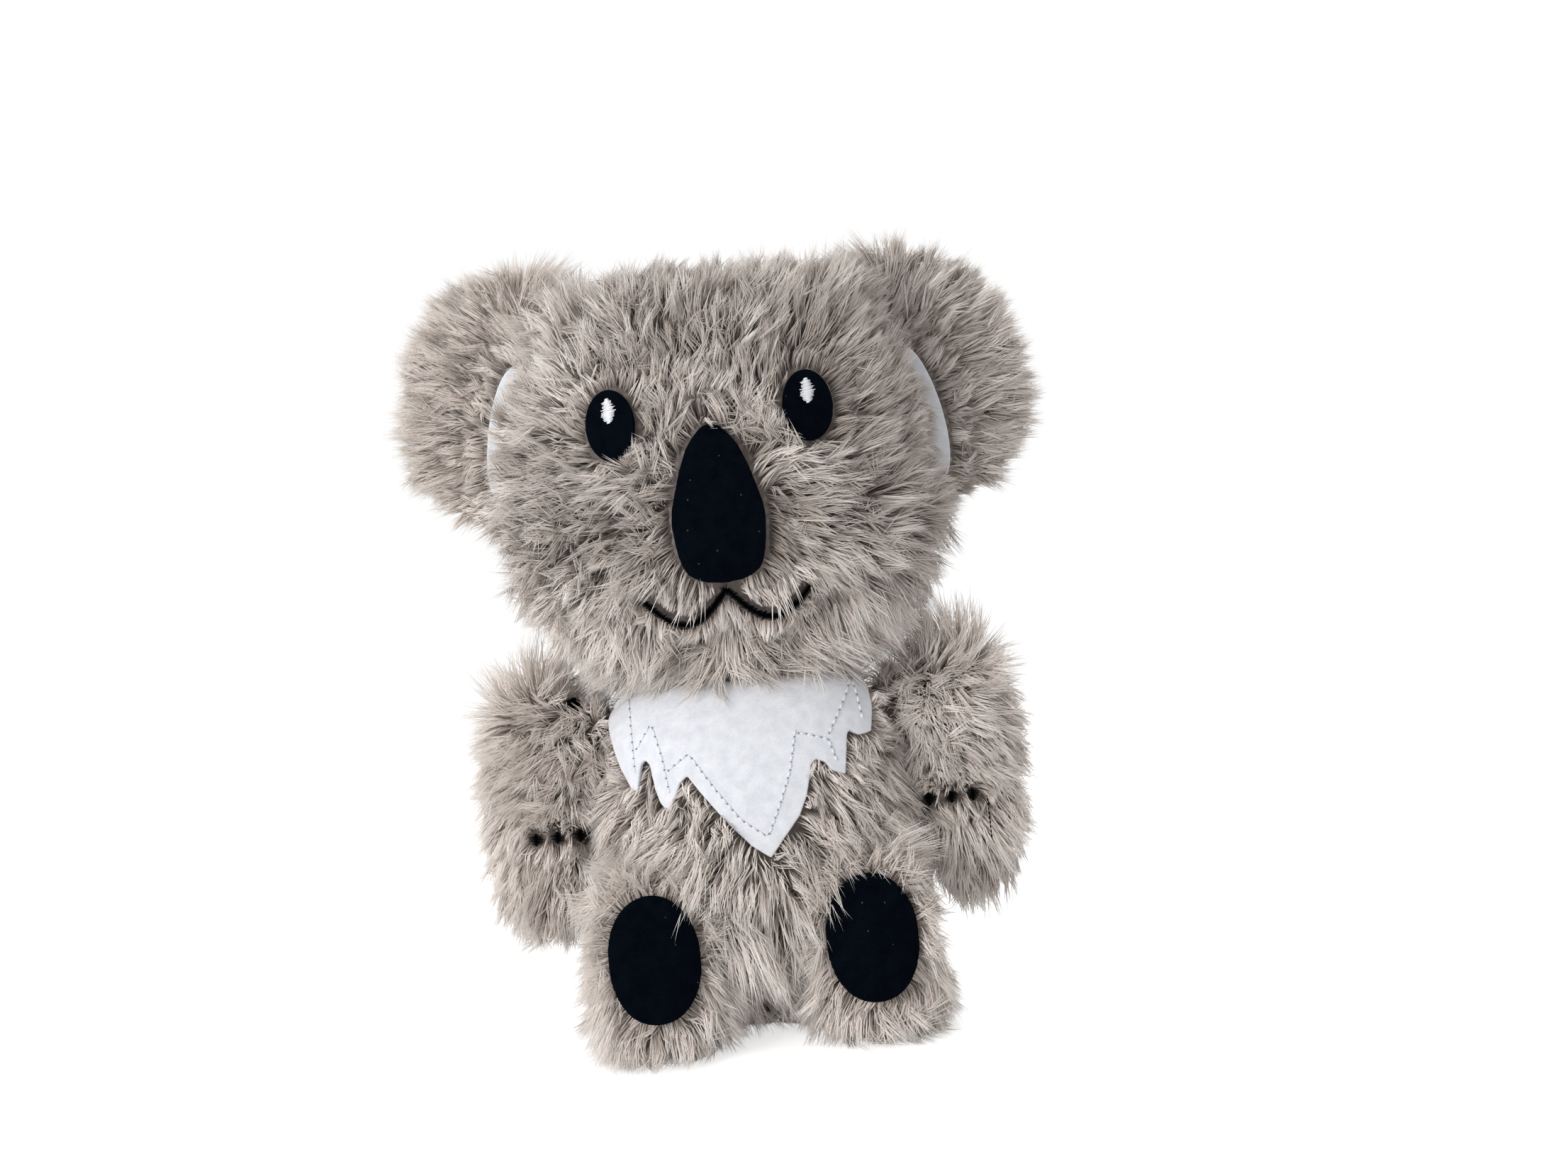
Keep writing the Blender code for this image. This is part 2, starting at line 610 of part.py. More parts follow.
def make_arms(joints):
    """Each arm's two panels, stuffing and claws, a tack on the right arm and a closing seam on the left."""
    reach, gap = 2 * ARM_HALF_LENGTH, SEAM_GAP / 2
    cloth = shell(arm_solid)
    parts = [
        ("arm_front_panel", FUR, kept(cloth, (-reach, -reach, -reach), (reach, -gap, reach))),
        ("arm_back_panel", FUR, kept(cloth, (-reach, gap, -reach), (reach, reach, reach))),
        ("arm_stuffing", STUFFING, filling(arm_solid)),
    ]
    bpy.data.objects.remove(cloth)
    row = ARM_DROP - CLAW_ROW_DROP
    for number in (-1, 0, 1):
        x = number * CLAW_SPACING - CLAW_ROW_INSET
        claw = applique(ARM, ellipse(CLAW_WIDTH, CLAW_HEIGHT, x, row), THREAD_HEIGHT)
        parts.append((f"claw_{number + 2}", BLACK_THREAD, claw))
    both_sides(parts, ARM_FRAME, joints)
    rise = ARM_HALF_LENGTH - TACK_TOP_INSET
    tack = ellipse(TACK_WIDTH, TACK_HEIGHT, TACK_INSET - ARM_OUTSET, rise)
    piece = applique(ARM, tack, THREAD_HEIGHT)
    finished(piece, "right_shoulder_tack", BLACK_THREAD, MIRROR @ ARM_FRAME, joints[1])
    row = ARM_DROP - CLOSING_SEAM_DROP
    thread = ellipse(CLOSING_SEAM_WIDTH, CLOSING_SEAM_LENGTH, CLOSING_SEAM_OUTSET, row)
    piece = applique(ARM, thread, THREAD_HEIGHT)
    finished(piece, "left_hand_closing_seam", BLACK_THREAD, ARM_FRAME, joints[0])


def make_legs(joints):
    """Each leg's inner and outer panels, its stuffing and its felt sole."""
    reach, gap = LEG_FORWARD + LEG_HALF_LENGTH + CUT_OVERRUN, SEAM_GAP / 2
    cloth = shell(leg_solid)
    sole = applique(LEG, ellipse(SOLE_WIDTH, SOLE_HEIGHT, 0, SOLE_RISE, SOLE_POWER), FELT_THICKNESS)
    parts = [
        ("leg_inner_panel", FUR, kept(cloth, (-reach, -reach, -reach), (-gap, reach, reach))),
        ("leg_outer_panel", FUR, kept(cloth, (gap, -reach, -reach), (reach, reach, reach))),
        ("leg_stuffing", STUFFING, filling(leg_solid)),
        ("sole_felt", DARK_FELT, sole),
    ]
    bpy.data.objects.remove(cloth)
    both_sides(parts, LEG_FRAME, joints)


def pair_of_joints(name, frame):
    """Empties at a frame's origin and at its mirror image."""
    place = frame.translation
    return joint_empty(f"left_{name}", place), joint_empty(f"right_{name}", MIRROR @ place)


def main():
    """Clears the scene and makes the koala."""
    for item in list(bpy.data.objects):
        bpy.data.objects.remove(item)
    nod = joint_empty("head_nod_axis", NECK_CENTRE)
    turn = joint_empty("head_turn_axis", NECK_CENTRE)
    make_torso()
    make_neck(nod)
    make_head(turn)
    make_ears(pair_of_joints("ear_fold_axis", EAR_FRAME))
    make_arms(pair_of_joints("arm_swing_axis", ARM_FRAME))
    make_legs(pair_of_joints("leg_swing_axis", LEG_FRAME))


main()
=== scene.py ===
"""The looks of a sitting plush koala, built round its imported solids.

Metres, +Z up. The toy sits on z = 0 and faces -Y, so its own left side is +X. Each stuffed form is a
filling, a backing cloth cut into its panels, and a coat of pile that is combed over the cloth. Felt and
thread lie on top. The sizes of the forms are those of the solids that they stand for.
"""

from __future__ import annotations

import json
import logging
import math
from dataclasses import dataclass, replace
from enum import Enum
from functools import cache
from typing import Callable, Sequence

import bpy
import numpy as np
from mathutils import Matrix, Vector, kdtree

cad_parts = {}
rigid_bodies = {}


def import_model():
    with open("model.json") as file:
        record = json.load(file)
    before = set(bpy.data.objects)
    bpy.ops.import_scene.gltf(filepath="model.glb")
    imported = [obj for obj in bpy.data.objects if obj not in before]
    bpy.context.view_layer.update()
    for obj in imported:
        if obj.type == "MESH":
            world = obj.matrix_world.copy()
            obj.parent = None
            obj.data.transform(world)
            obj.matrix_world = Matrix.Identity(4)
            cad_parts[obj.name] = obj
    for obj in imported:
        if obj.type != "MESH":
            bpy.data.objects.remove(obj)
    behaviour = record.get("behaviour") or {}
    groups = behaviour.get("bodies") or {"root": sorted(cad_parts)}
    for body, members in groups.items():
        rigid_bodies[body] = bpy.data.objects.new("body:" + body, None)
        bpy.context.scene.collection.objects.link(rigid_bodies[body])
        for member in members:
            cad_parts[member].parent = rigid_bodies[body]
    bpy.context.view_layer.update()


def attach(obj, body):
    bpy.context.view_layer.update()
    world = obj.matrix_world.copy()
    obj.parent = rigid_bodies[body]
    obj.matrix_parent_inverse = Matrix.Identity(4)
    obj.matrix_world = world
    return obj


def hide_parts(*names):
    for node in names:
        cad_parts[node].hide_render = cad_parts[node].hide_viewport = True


for leftover in list(bpy.data.objects):
    bpy.data.objects.remove(leftover)
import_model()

log = logging.getLogger("koala")
Array = np.ndarray
Object = bpy.types.Object
Tree = bpy.types.NodeTree
Socket = bpy.types.NodeSocket
Field = Callable[[Array], Array]
Chance = np.random.Generator
Pairs = tuple[tuple[float, float], ...]
Triple = tuple[float, float, float]

MM = 0.001
X, Y, Z = range(3)
SEED = 20
BAKE_MAP = "OFBake"

# The toy's place over its footprint, and the seat of cloth and felt under the tips of the pile
TO_FLOOR = Matrix.Translation((0, 5.9 * MM, 0))
MIRROR = Matrix.Scale(-1, 4, (1, 0, 0))
PILE_DEPTH = 6.0 * MM
FELT_SEAT = 0.06
CLOTH_THICKNESS = 1.0 * MM
BACKING_SHARE = 0.55
FELT_THICKNESS = 1.5 * MM
FELT_LIFT = 0.3 * MM
FAR = 1.0

# Where hairs stop: over the floor, and in front, so that the coat stays near the solids
FLOOR_CLEARANCE = 0.6 * MM
FRONT_REACH = -66.6 * MM

# A hair's width at its bend, and how each of its sides is told from the next by its tone
BEND_WIDTH = 1.15
SIDE_TONE = 0.16
SIDE_ANGLE = 2.1
PALEST = 0.97

# A hair's corners stand a little apart on its map, told by where they are across it
MAP_STEP = 0.01
MAP_EDGES = (-0.1, 0.6)

# How a hair that reaches too far is clipped: in how many goes, by what share, and where along its halves it
# is looked at
CLIPS = 4
CLIP_SHARE = 0.28
LOOKED_AT = (0.35, 0.7, 1.0)


class Side(Enum):
    """The toy's own sides, each with its sign along X."""

    LEFT = 1
    RIGHT = -1

    @property
    def word(self) -> str:
        """The side's name in small letters."""
        return self.name.lower()

    def place(self, left: Matrix) -> Matrix:
        """A frame that is given for the left side, for this one."""
        return TO_FLOOR @ (left if self is Side.LEFT else MIRROR @ left)


def linear(colour: str) -> tuple[float, float, float, float]:
    """Turns an sRGB hex value, six digits after a hash, to linear with an alpha of 1."""
    parts = [int(colour[i : i + 2], 16) / 255 for i in (1, 3, 5)]
    return (*((p / 12.92 if p <= 0.04045 else ((p + 0.055) / 1.055) ** 2.4) for p in parts), 1.0)


def signed_power(value: Array, power: Array | float) -> Array:
    """The size of each value raised to a power, with its sign kept."""
    return np.sign(value) * np.abs(value) ** power


def smoothstep(value: Array, start: float, end: float) -> Array:
    """Turns smoothly from 0 at start to 1 at end, whichever of them is the greater."""
    share = np.clip((value - start) / (end - start), 0, 1)
    return share * share * (3 - 2 * share)


def unit(vectors: Array) -> Array:
    """Each row at length 1."""
    return vectors / np.maximum(np.linalg.norm(vectors, axis=1, keepdims=True), 1e-12)


def moved(points: Array, matrix: Matrix) -> Array:
    """Points carried by a placement."""
    full = np.array(matrix)
    return points @ full[:3, :3].T + full[:3, 3]


@dataclass(frozen=True)
class Ramp:
    """An edge of a zone: from 0 at one place along an axis to 1 at another, in millimetres. It may count the
    distance to either side."""

    axis: int
    start: float
    end: float
    either_side: bool = False

    def at(self, points: Array) -> Array:
        """How far each place is up the ramp."""
        along = points[:, self.axis]
        return smoothstep(np.abs(along) if self.either_side else along, self.start * MM, self.end * MM)


def zone(points: Array, *ramps: Ramp) -> Array:
    """How much each place belongs to a zone inside some ramps."""
    return np.prod([ramp.at(points) for ramp in ramps], axis=0)


@dataclass(frozen=True)
class Drift:
    """A smooth field of small vectors: how strong it is, over what size it wanders, and which one it is."""

    strength: float
    size: float
    number: int
    octaves: int = 4
    spread: float = 1.8

    def at(self, points: Array) -> Array:
        """A vector for each place, each part between about -strength and strength.

        Args:
            points: the places, one a row.

        Returns:
            A vector for each place.
        """
        rng = np.random.default_rng(SEED + self.number)
        total = np.zeros_like(points)
        for octave in range(self.octaves):
            fine = 1 + 0.5 * octave
            waves = rng.normal(size=(3, 3)) * fine / self.size
            total += np.sin(points @ waves.T + rng.uniform(0, 2 * math.pi, 3)) / fine
        return self.strength * (total / self.spread)


@dataclass(frozen=True)
class Bulge:
    """A swelling at the front of a form: its depth, how far it spreads, and its height above the middle."""

    depth: float = 0.0
    half_width: float = 1.0
    half_height: float = 1.0
    rise: float = 0.0


@dataclass(frozen=True)
class Form:
    """A stuffed form in its own frame: half sizes each way from its middle, and how square it is.

    The powers are a superellipse's: 2 is round, and more is squarer. foot_power is for the lower half.
    """

    middle: Triple
    side: float
    front: float
    back: float
    up: float
    down: float
    plan_power: float
    side_power: float
    foot_power: float
    bulge: Bulge = Bulge()

    def skin(self, ball: Array, inset: Array | float = 0.0) -> Array:
        """Moves the points of a unit ball onto the form.

        Args:
            ball: points at distance 1 from the origin.
            inset: how far under the form's outside each lies.

        Returns:
            The points on the form.
        """
        x, y, z = ball.T
        across = np.hypot(x, y)
        power = np.where(z > 0, self.side_power, self.foot_power)
        level = across ** (2 / power)
        over = np.maximum(across, 1e-9)
        plan = 2 / self.plan_power
        deep = level * signed_power(y / over, plan)
        out = np.column_stack(
            (
                level * signed_power(x / over, plan) * (self.side - inset),
                deep * (np.where(y < 0, self.front, self.back) - inset),
                signed_power(z, 2 / power) * (np.where(z > 0, self.up, self.down) - inset),
            )
        )
        out[:, 1] -= self.swell(out[:, 0], out[:, 2]) * np.maximum(-deep, 0)
        return out + self.middle

    def swell(self, x: Array, z: Array) -> Array:
        """How far the bulge stands out at places across and up from the middle."""
        across, rise = x / self.bulge.half_width, (z - self.bulge.rise) / self.bulge.half_height
        return self.bulge.depth * np.exp(-(across**2) - rise**2)

    def front_at(self, x: Array, z: Array) -> Array:
        """The depth, along Y, of the front surface at places across and up in the form's frame.

        Args:
            x: places across.
            z: places up.

        Returns:
            The depth at each place.
        """
        dx, dz = x - self.middle[0], z - self.middle[2]
        power = np.where(dz > 0, self.side_power, self.foot_power)
        tall = np.where(dz > 0, self.up, self.down)
        level = np.maximum(1 - np.abs(dz / tall) ** power, 1e-6) ** (1 / power)
        share = np.clip(np.abs(dx) / (self.side * level), 0, 0.999)
        deep = level * (1 - share**self.plan_power) ** (1 / self.plan_power)
        return self.middle[1] - deep * self.front - self.swell(dx, dz) * deep

    def lay(self, x: Array, z: Array, lift: Array | float) -> Array:
        """Points over the front surface, lifted square to it.

        Args:
            x: places across.
            z: places up.
            lift: how high over the surface they lie.

        Returns:
            The points.
        """
        step = 0.5 * MM
        y = self.front_at(x, z)
        slope_x = (self.front_at(x + step, z) - self.front_at(x - step, z)) / (2 * step)
        slope_z = (self.front_at(x, z + step) - self.front_at(x, z - step)) / (2 * step)
        normal = unit(np.column_stack((slope_x, -np.ones_like(x), slope_z)))
        return np.column_stack((x, y, z)) + normal * np.reshape(lift, (-1, 1))


@dataclass(frozen=True)
class Outline:
    """A closed outline across and up, for felt, thread and the pile that is kept off them."""

    points: Array

    def distance(self, x: Array, z: Array) -> Array:
        """How far places lie outside the outline, and less than 0 inside it.

        Args:
            x: places across.
            z: places up.

        Returns:
            The distance of each place.
        """
        place = np.column_stack((x, z))
        nearest = np.full(len(place), np.inf)
        inside = np.zeros(len(place), bool)
        for a, b in zip(self.points, np.roll(self.points, -1, axis=0)):
            run = b - a
            along = np.clip(((place - a) @ run) / max(run @ run, 1e-18), 0, 1)
            nearest = np.minimum(nearest, np.linalg.norm(place - a - along[:, None] * run, axis=1))
            crosses = (a[1] > place[:, 1]) != (b[1] > place[:, 1])
            if abs(run[1]) > 1e-12:
                inside ^= crosses & (place[:, 0] < a[0] + (place[:, 1] - a[1]) / run[1] * run[0])
        return np.where(inside, -nearest, nearest)


def nearest(points: Array, outlines: Sequence[Outline]) -> Array:
    """How far places lie from the nearest of some outlines, seen from the front."""
    return np.min([outline.distance(points[:, 0], points[:, 2]) for outline in outlines], axis=0)


def oval(width: float, height: float, x: float, z: float, power: float = 2.0) -> Outline:
    """An oval outline round a middle; a power over 2 makes it squarer.

    Args:
        width: how wide it is.
        height: how high it is.
        x: its middle's place across.
        z: its middle's place up.
        power: how square it is, from 2 for round.

    Returns:
        The outline.
    """
    angle = np.linspace(0, 2 * math.pi, 64, endpoint=False)
    across, rise = signed_power(np.cos(angle), 2 / power), signed_power(np.sin(angle), 2 / power)
    return Outline(np.column_stack((x + width / 2 * across, z + height / 2 * rise)))


def band(path: Array, half_width: float) -> Outline:
    """The outline of a line of some width along a path across and up.

    Args:
        path: its points, across and up.
        half_width: half the line's width.

    Returns:
        The outline.
    """
    run = np.gradient(path, axis=0)
    square = unit(np.column_stack((-run[:, 1], run[:, 0]))) * half_width
    return Outline(np.vstack((path + square, (path - square)[::-1])))


def deselect() -> None:
    """Leaves edit mode and selects nothing."""
    if bpy.context.object is not None and bpy.context.object.mode != "OBJECT":
        bpy.ops.object.mode_set(mode="OBJECT")
    bpy.ops.object.select_all(action="DESELECT")


def choose(*items: Object) -> None:
    """Selects objects, the last of them as the active one.

    Args:
        items: the objects to select.
    """
    deselect()
    for item in items:
        item.select_set(True)
    bpy.context.view_layer.objects.active = items[-1]


def edit_all(item: Object) -> None:
    """Opens an object in edit mode with its whole mesh selected.

    Args:
        item: the object.
    """
    choose(item)
    bpy.ops.object.mode_set(mode="EDIT")
    bpy.ops.mesh.select_all(action="SELECT")


def turned_out(item: Object) -> Object:
    """Turns all of a mesh's faces outwards.

    Args:
        item: the object.

    Returns:
        The same object.
    """
    edit_all(item)
    bpy.ops.mesh.normals_make_consistent(inside=False)
    deselect()
    return item


def smooth(item: Object) -> Object:
    """Shades a piece smooth all over."""
    item.data.shade_smooth()
    return item


def points_of(item: Object) -> Array:
    """The object's vertices, one a row.

    Args:
        item: the object.

    Returns:
        Their places.
    """
    flat = np.empty(3 * len(item.data.vertices))
    item.data.vertices.foreach_get("co", flat)
    return flat.reshape(-1, 3)


def faces_of(item: Object) -> list[Array]:
    """The numbers of each face's corners."""
    return [np.array(polygon.vertices) for polygon in item.data.polygons]


def set_points(item: Object, points: Array) -> Object:
    """Moves the object's vertices.

    Args:
        item: the object.
        points: their new places, one a row.

    Returns:
        The same object.
    """
    item.data.vertices.foreach_set("co", np.asarray(points, float).ravel())
    item.data.update()
    return item


def finish_modifiers(item: Object) -> None:
    """Applies an object's modifiers in order.

    Args:
        item: the object.
    """
    choose(item)
    for modifier in list(item.modifiers):
        bpy.ops.object.modifier_apply(modifier=modifier.name)


def thickened(item: Object, thickness: float, offset: float) -> Object:
    """Gives an open cloth its thickness, inwards at an offset of -1, and shades it smooth.

    Args:
        item: the cloth.
        thickness: how thick it gets.
        offset: where the cloth lies in its thickness, from -1 to 1.

    Returns:
        The same object.
    """
    wall = item.modifiers.new("Solidify", "SOLIDIFY")
    wall.thickness, wall.offset = thickness, offset
    finish_modifiers(item)
    return smooth(item)


def in_order(item: Object, digits: int) -> Object:
    """Sorts a mesh's points and faces by place, since a sphere's or a cut shape's order changes by the run.

    Args:
        item: the mesh, flat shaded.
        digits: the decimals to which places count.

    Returns:
        The same object, with a new mesh.
    """
    points = points_of(item)
    order = np.lexsort(np.round(points.T, digits))
    rank = np.empty(len(order), int)
    rank[order] = np.arange(len(order))
    faces = []
    for polygon in item.data.polygons:
        corners = [int(rank[corner]) for corner in polygon.vertices]
        first = corners.index(min(corners))
        faces.append(corners[first:] + corners[:first])
    old = item.data
    item.data = bpy.data.meshes.new(item.name)
    item.data.from_pydata(points[order].tolist(), [], sorted(faces))
    bpy.data.meshes.remove(old)
    return item


def unit_ball(segments: int, rings: int) -> Object:
    """A ball of radius 1 at the origin.

    Args:
        segments: its number of segments.
        rings: its number of rings.

    Returns:
        The ball.
    """
    deselect()
    bpy.ops.mesh.primitive_uv_sphere_add(segments=segments, ring_count=rings, radius=1)
    ball = in_order(bpy.context.active_object, 4)
    return set_points(ball, np.round(points_of(ball), 6))


def egg(centre: Sequence[float], radii: Sequence[float], segments: int = 32, rings: int = 20) -> Object:
    """A closed ball, drawn out to its own half sizes."""
    made = unit_ball(segments, rings)
    return set_points(made, points_of(made) * np.array(radii) + np.array(centre))


def cut(item: Object, axis: int, keep: int, at: float) -> Object:
    """Cuts a mesh with a plane across an axis and leaves the cut open.

    Args:
        item: the mesh to cut.
        axis: the axis that the plane is square to.
        keep: the sign of the side that stays.
        at: the plane's place along the axis.

    Returns:
        The same object.
    """
    edit_all(item)
    place, normal = np.zeros(3), np.zeros(3)
    place[axis], normal[axis] = at, keep
    bpy.ops.mesh.bisect(plane_co=place, plane_no=normal, clear_inner=True)
    deselect()
    return item


def merged(items: Sequence[Object], voxel: float, smoothing: int) -> Object:
    """Joins closed shapes into one skin and smooths where they meet.

    Args:
        items: the closed shapes.
        voxel: the size of its faces.
        smoothing: how often it is smoothed.

    Returns:
        The skin.
    """
    choose(*items)
    bpy.ops.object.join()
    whole = bpy.context.active_object
    whole.data.remesh_voxel_size = voxel
    bpy.ops.object.voxel_remesh()
    edit_all(whole)
    bpy.ops.mesh.vertices_smooth(factor=0.5, repeat=smoothing)
    deselect()
    return whole


def carved(item: Object, tools: Sequence[Object]) -> Object:
    """Cuts closed shapes out of a closed shape, and deletes them.

    Args:
        item: the shape that is cut.
        tools: the shapes that cut it.

    Returns:
        The same object, with a new mesh.
    """
    for tool in tools:
        step = item.modifiers.new("Boolean", "BOOLEAN")
        step.operation, step.solver, step.object = "DIFFERENCE", "EXACT", tool
        finish_modifiers(item)
        bpy.data.objects.remove(tool)
    deselect()
    return in_order(item, 6)


def add_node(
    tree: Tree,
    kind: str,
    inputs: dict[str | int, object] | None = None,
    stops: Sequence[tuple[float, str]] = (),
    **settings: object,
) -> bpy.types.Node:
    """Adds a node with its settings, its values and its links.

    Args:
        tree: the material's tree.
        kind: the node's type, without ShaderNode.
        inputs: a value, or a socket to link from, for each input by name or number.
        stops: places and hex colours of a colour ramp.
        settings: the node's own properties.

    Returns:
        The node.
    """
    made = tree.nodes.new(f"ShaderNode{kind}")
    for name, value in settings.items():
        setattr(made, name, value)
    for name, value in (inputs or {}).items():
        if isinstance(value, Socket):
            tree.links.new(value, made.inputs[name])
        else:
            made.inputs[name].default_value = value
    if stops:
        elements = made.color_ramp.elements
        for index, (place, colour) in enumerate(stops):
            element = elements[index] if index < 2 else elements.new(place)
            element.position, element.color = place, linear(colour)
    return made


def blank_material(name: str) -> tuple[bpy.types.Material, Tree]:
    """A new material without nodes, and its tree.

    Args:
        name: the material's name.

    Returns:
        The material, and its tree.
    """
    made = bpy.data.materials.new(name)
    made.use_nodes = True
    made.node_tree.nodes.clear()
    return made, made.node_tree


@dataclass(frozen=True)
class Finish:
    """A finish: its name, the record's slot for it, and how matt, downy and glossy it is."""

    name: str
    slot: str
    roughness: float = 0.9
    sheen: float = 0.1
    sheen_roughness: float = 0.5
    gloss: float = 0.5

    def surface(self, tree: Tree) -> dict[str, object]:
        """The surface's colour and whatever else is its own; each finish gives it."""
        raise NotImplementedError

    @cache
    def material(self) -> bpy.types.Material:
        """The finish's one material.

        Returns:
            The material.
        """
        made, tree = blank_material(self.name)
        values = {"Roughness": self.roughness, "Specular IOR Level": self.gloss, "Sheen Weight": self.sheen}
        values |= {"Sheen Roughness": self.sheen_roughness} | self.surface(tree)
        shader = add_node(tree, "BsdfPrincipled", values)
        add_node(tree, "OutputMaterial", {"Surface": shader.outputs["BSDF"]})
        return made


@dataclass(frozen=True)
class PileFinish(Finish):
    """Long acrylic pile, dyed grey and heat-crimped: dark at the root, where little light gets in, and pale
    at the tip. The pile's own map gives how pale a hair is, across, and the place along it, up."""

    roughness: float = 0.5
    sheen: float = 0.4
    sheen_roughness: float = 0.4
    gloss: float = 0.4
    glow_through: float = 0.25
    # The lowest stops of both ramps darken the roots: painted shade
    dark: tuple[tuple[float, str], ...] = (
        (0.0, "#3E3530"), (0.35, "#75685F"), (0.75, "#AEA197"), (1.0, "#D6CBC2"),
    )
    pale: tuple[tuple[float, str], ...] = (
        (0.0, "#A99B91"), (0.3, "#E6DAD1"), (0.7, "#FCF3EC"), (1.0, "#FFFAF4"),
    )

    def surface(self, tree: Tree) -> dict[str, object]:
        """The dark and the pale hair, mixed by the map.

        Args:
            tree: the material's tree.

        Returns:
            Values or sockets for the shader, by the names of its inputs.
        """
        place = add_node(tree, "UVMap", uv_map=BAKE_MAP)
        parts = add_node(tree, "SeparateXYZ", {"Vector": place.outputs["UV"]})
        dark, pale = (
            add_node(tree, "ValToRGB", {"Fac": parts.outputs["Y"]}, stops).outputs["Color"]
            for stops in (self.dark, self.pale)
        )
        mix = add_node(tree, "MixRGB", {"Fac": parts.outputs["X"], "Color1": dark, "Color2": pale})
        glow = {"Subsurface Weight": self.glow_through, "Subsurface Scale": 0.8 * MM}
        return {"Base Color": mix.outputs["Color"], "Subsurface Radius": (1.0, 0.96, 0.92)} | glow


@dataclass(frozen=True)
class PatternFinish(Finish):
    """A finish whose pattern goes from one colour to another and raises the surface."""

    low: str = ""
    high: str = ""
    stops: tuple[float, float] = (0.0, 1.0)
    relief: float = 0.1 * MM
    depth: float = 0.6

    def pattern(self, tree: Tree, place: Socket) -> tuple[Socket, Socket]:
        """The pattern's tone and its height; each finish gives them."""
        raise NotImplementedError

    def flecked(self, tree: Tree, place: Socket, colour: Socket) -> Socket:
        """The colour with what lies on it: nothing, on most finishes."""
        return colour

    def surface(self, tree: Tree) -> dict[str, object]:
        """The pattern's colour and bump.

        Args:
            tree: the material's tree.

        Returns:
            Values or sockets for the shader, by the names of its inputs.
        """
        place = add_node(tree, "TexCoord").outputs["Object"]
        tone, height = self.pattern(tree, place)
        colour = add_node(tree, "ValToRGB", {"Fac": tone}, tuple(zip(self.stops, (self.low, self.high))))
        bump = add_node(tree, "Bump", {"Height": height, "Distance": self.relief, "Strength": self.depth})
        seen = self.flecked(tree, place, colour.outputs["Color"])
        return {"Base Color": seen, "Normal": bump.outputs["Normal"]}


@dataclass(frozen=True)
class FeltFinish(PatternFinish):
    """Pressed felt: matt, mottled over a few millimetres, with a nap of short fibres that takes light at its
    edges. The fibres are drawn some twenty times as thick as real ones, to show."""

    roughness: float = 0.95
    sheen: float = 0.3
    sheen_roughness: float = 0.6
    gloss: float = 0.15
    stops: tuple[float, float] = (0.36, 0.64)
    relief: float = 0.12 * MM
    depth: float = 0.8
    mottle: float = 3.5 * MM
    fibre: float = 0.45 * MM
    lint: str | None = None
    lint_spacing: float = 4.5 * MM
    lint_size: float = 0.055

    def pattern(self, tree: Tree, place: Socket) -> tuple[Socket, Socket]:
        """The mottle and the fibres, half and half; the fibres stand up.

        Args:
            tree: the material's tree.
            place: the socket that gives the place.

        Returns:
            The sockets of the tone and of the height.
        """
        noises = (self.mottle, {"Detail": 4.0}), (self.fibre, {"Detail": 6.0, "Roughness": 0.65})
        cloud, grain = (
            add_node(tree, "TexNoise", {"Vector": place, "Scale": 1 / size} | detail).outputs["Fac"]
            for size, detail in noises
        )
        both = add_node(tree, "Math", {0: cloud, 1: grain}, operation="ADD")
        half = add_node(tree, "Math", {0: both.outputs[0], 1: 0.5}, operation="MULTIPLY")
        return half.outputs[0], grain

    def flecked(self, tree: Tree, place: Socket, colour: Socket) -> Socket:
        """The colour with pale lint on it, on felt that shows lint.

        Args:
            tree: the material's tree.
            place: the socket that gives the place.
            colour: the socket that gives the colour.

        Returns:
            The socket of the colour.
        """
        if self.lint is None:
            return colour
        cells = add_node(tree, "TexVoronoi", {"Vector": place, "Scale": 1 / self.lint_spacing})
        few = {0: cells.outputs["Distance"], 1: self.lint_size}
        specks = add_node(tree, "Math", few, operation="LESS_THAN").outputs[0]
        mix = add_node(tree, "MixRGB", {"Fac": specks, "Color1": colour, "Color2": linear(self.lint)})
        return mix.outputs["Color"]


@dataclass(frozen=True)
class ThreadFinish(PatternFinish):
    """Polyester embroidery thread: smooth, with a soft gloss along each stitch and a fine twist."""

    roughness: float = 0.42
    sheen: float = 0.2
    stops: tuple[float, float] = (0.3, 0.7)
    relief: float = 0.05 * MM
    depth: float = 0.5
    twist: float = 0.25 * MM

    def pattern(self, tree: Tree, place: Socket) -> tuple[Socket, Socket]:
        """The twist, as tone and as height."""
        twist = add_node(tree, "TexNoise", {"Vector": place, "Scale": 1 / self.twist, "Detail": 3.0})
        return twist.outputs["Fac"], twist.outputs["Fac"]


@dataclass(frozen=True)
class ClothFinish(PatternFinish):
    """Plain-knitted or woven cloth, with its threads as a fine check in colour and height."""

    thread: float = 0.5 * MM

    def pattern(self, tree: Tree, place: Socket) -> tuple[Socket, Socket]:
        """The threads across and up, as tone and as height.

        Args:
            tree: the material's tree.
            place: the socket that gives the place.

        Returns:
            The sockets of the tone and of the height.
        """
        waves = {"Vector": place, "Scale": 0.05 / self.thread, "Distortion": 1.2, "Detail": 2.0}
        across, up = (add_node(tree, "TexWave", waves, bands_direction=axis).outputs["Fac"] for axis in "XZ")
        weave = add_node(tree, "Math", {0: across, 1: up}, operation="MULTIPLY").outputs[0]
        return weave, weave


# Crimped acrylic pile: grey, darkened at its roots as painted shade, with a soft shine at its pale tips
PILE = PileFinish("acrylic_pile", "grey_fur")
# Knitted polyester: a dull grey ground that shows only where the pile parts
BACKING = ClothFinish("knitted_backing", "grey_fur", low="#5F5753", high="#7D746E")
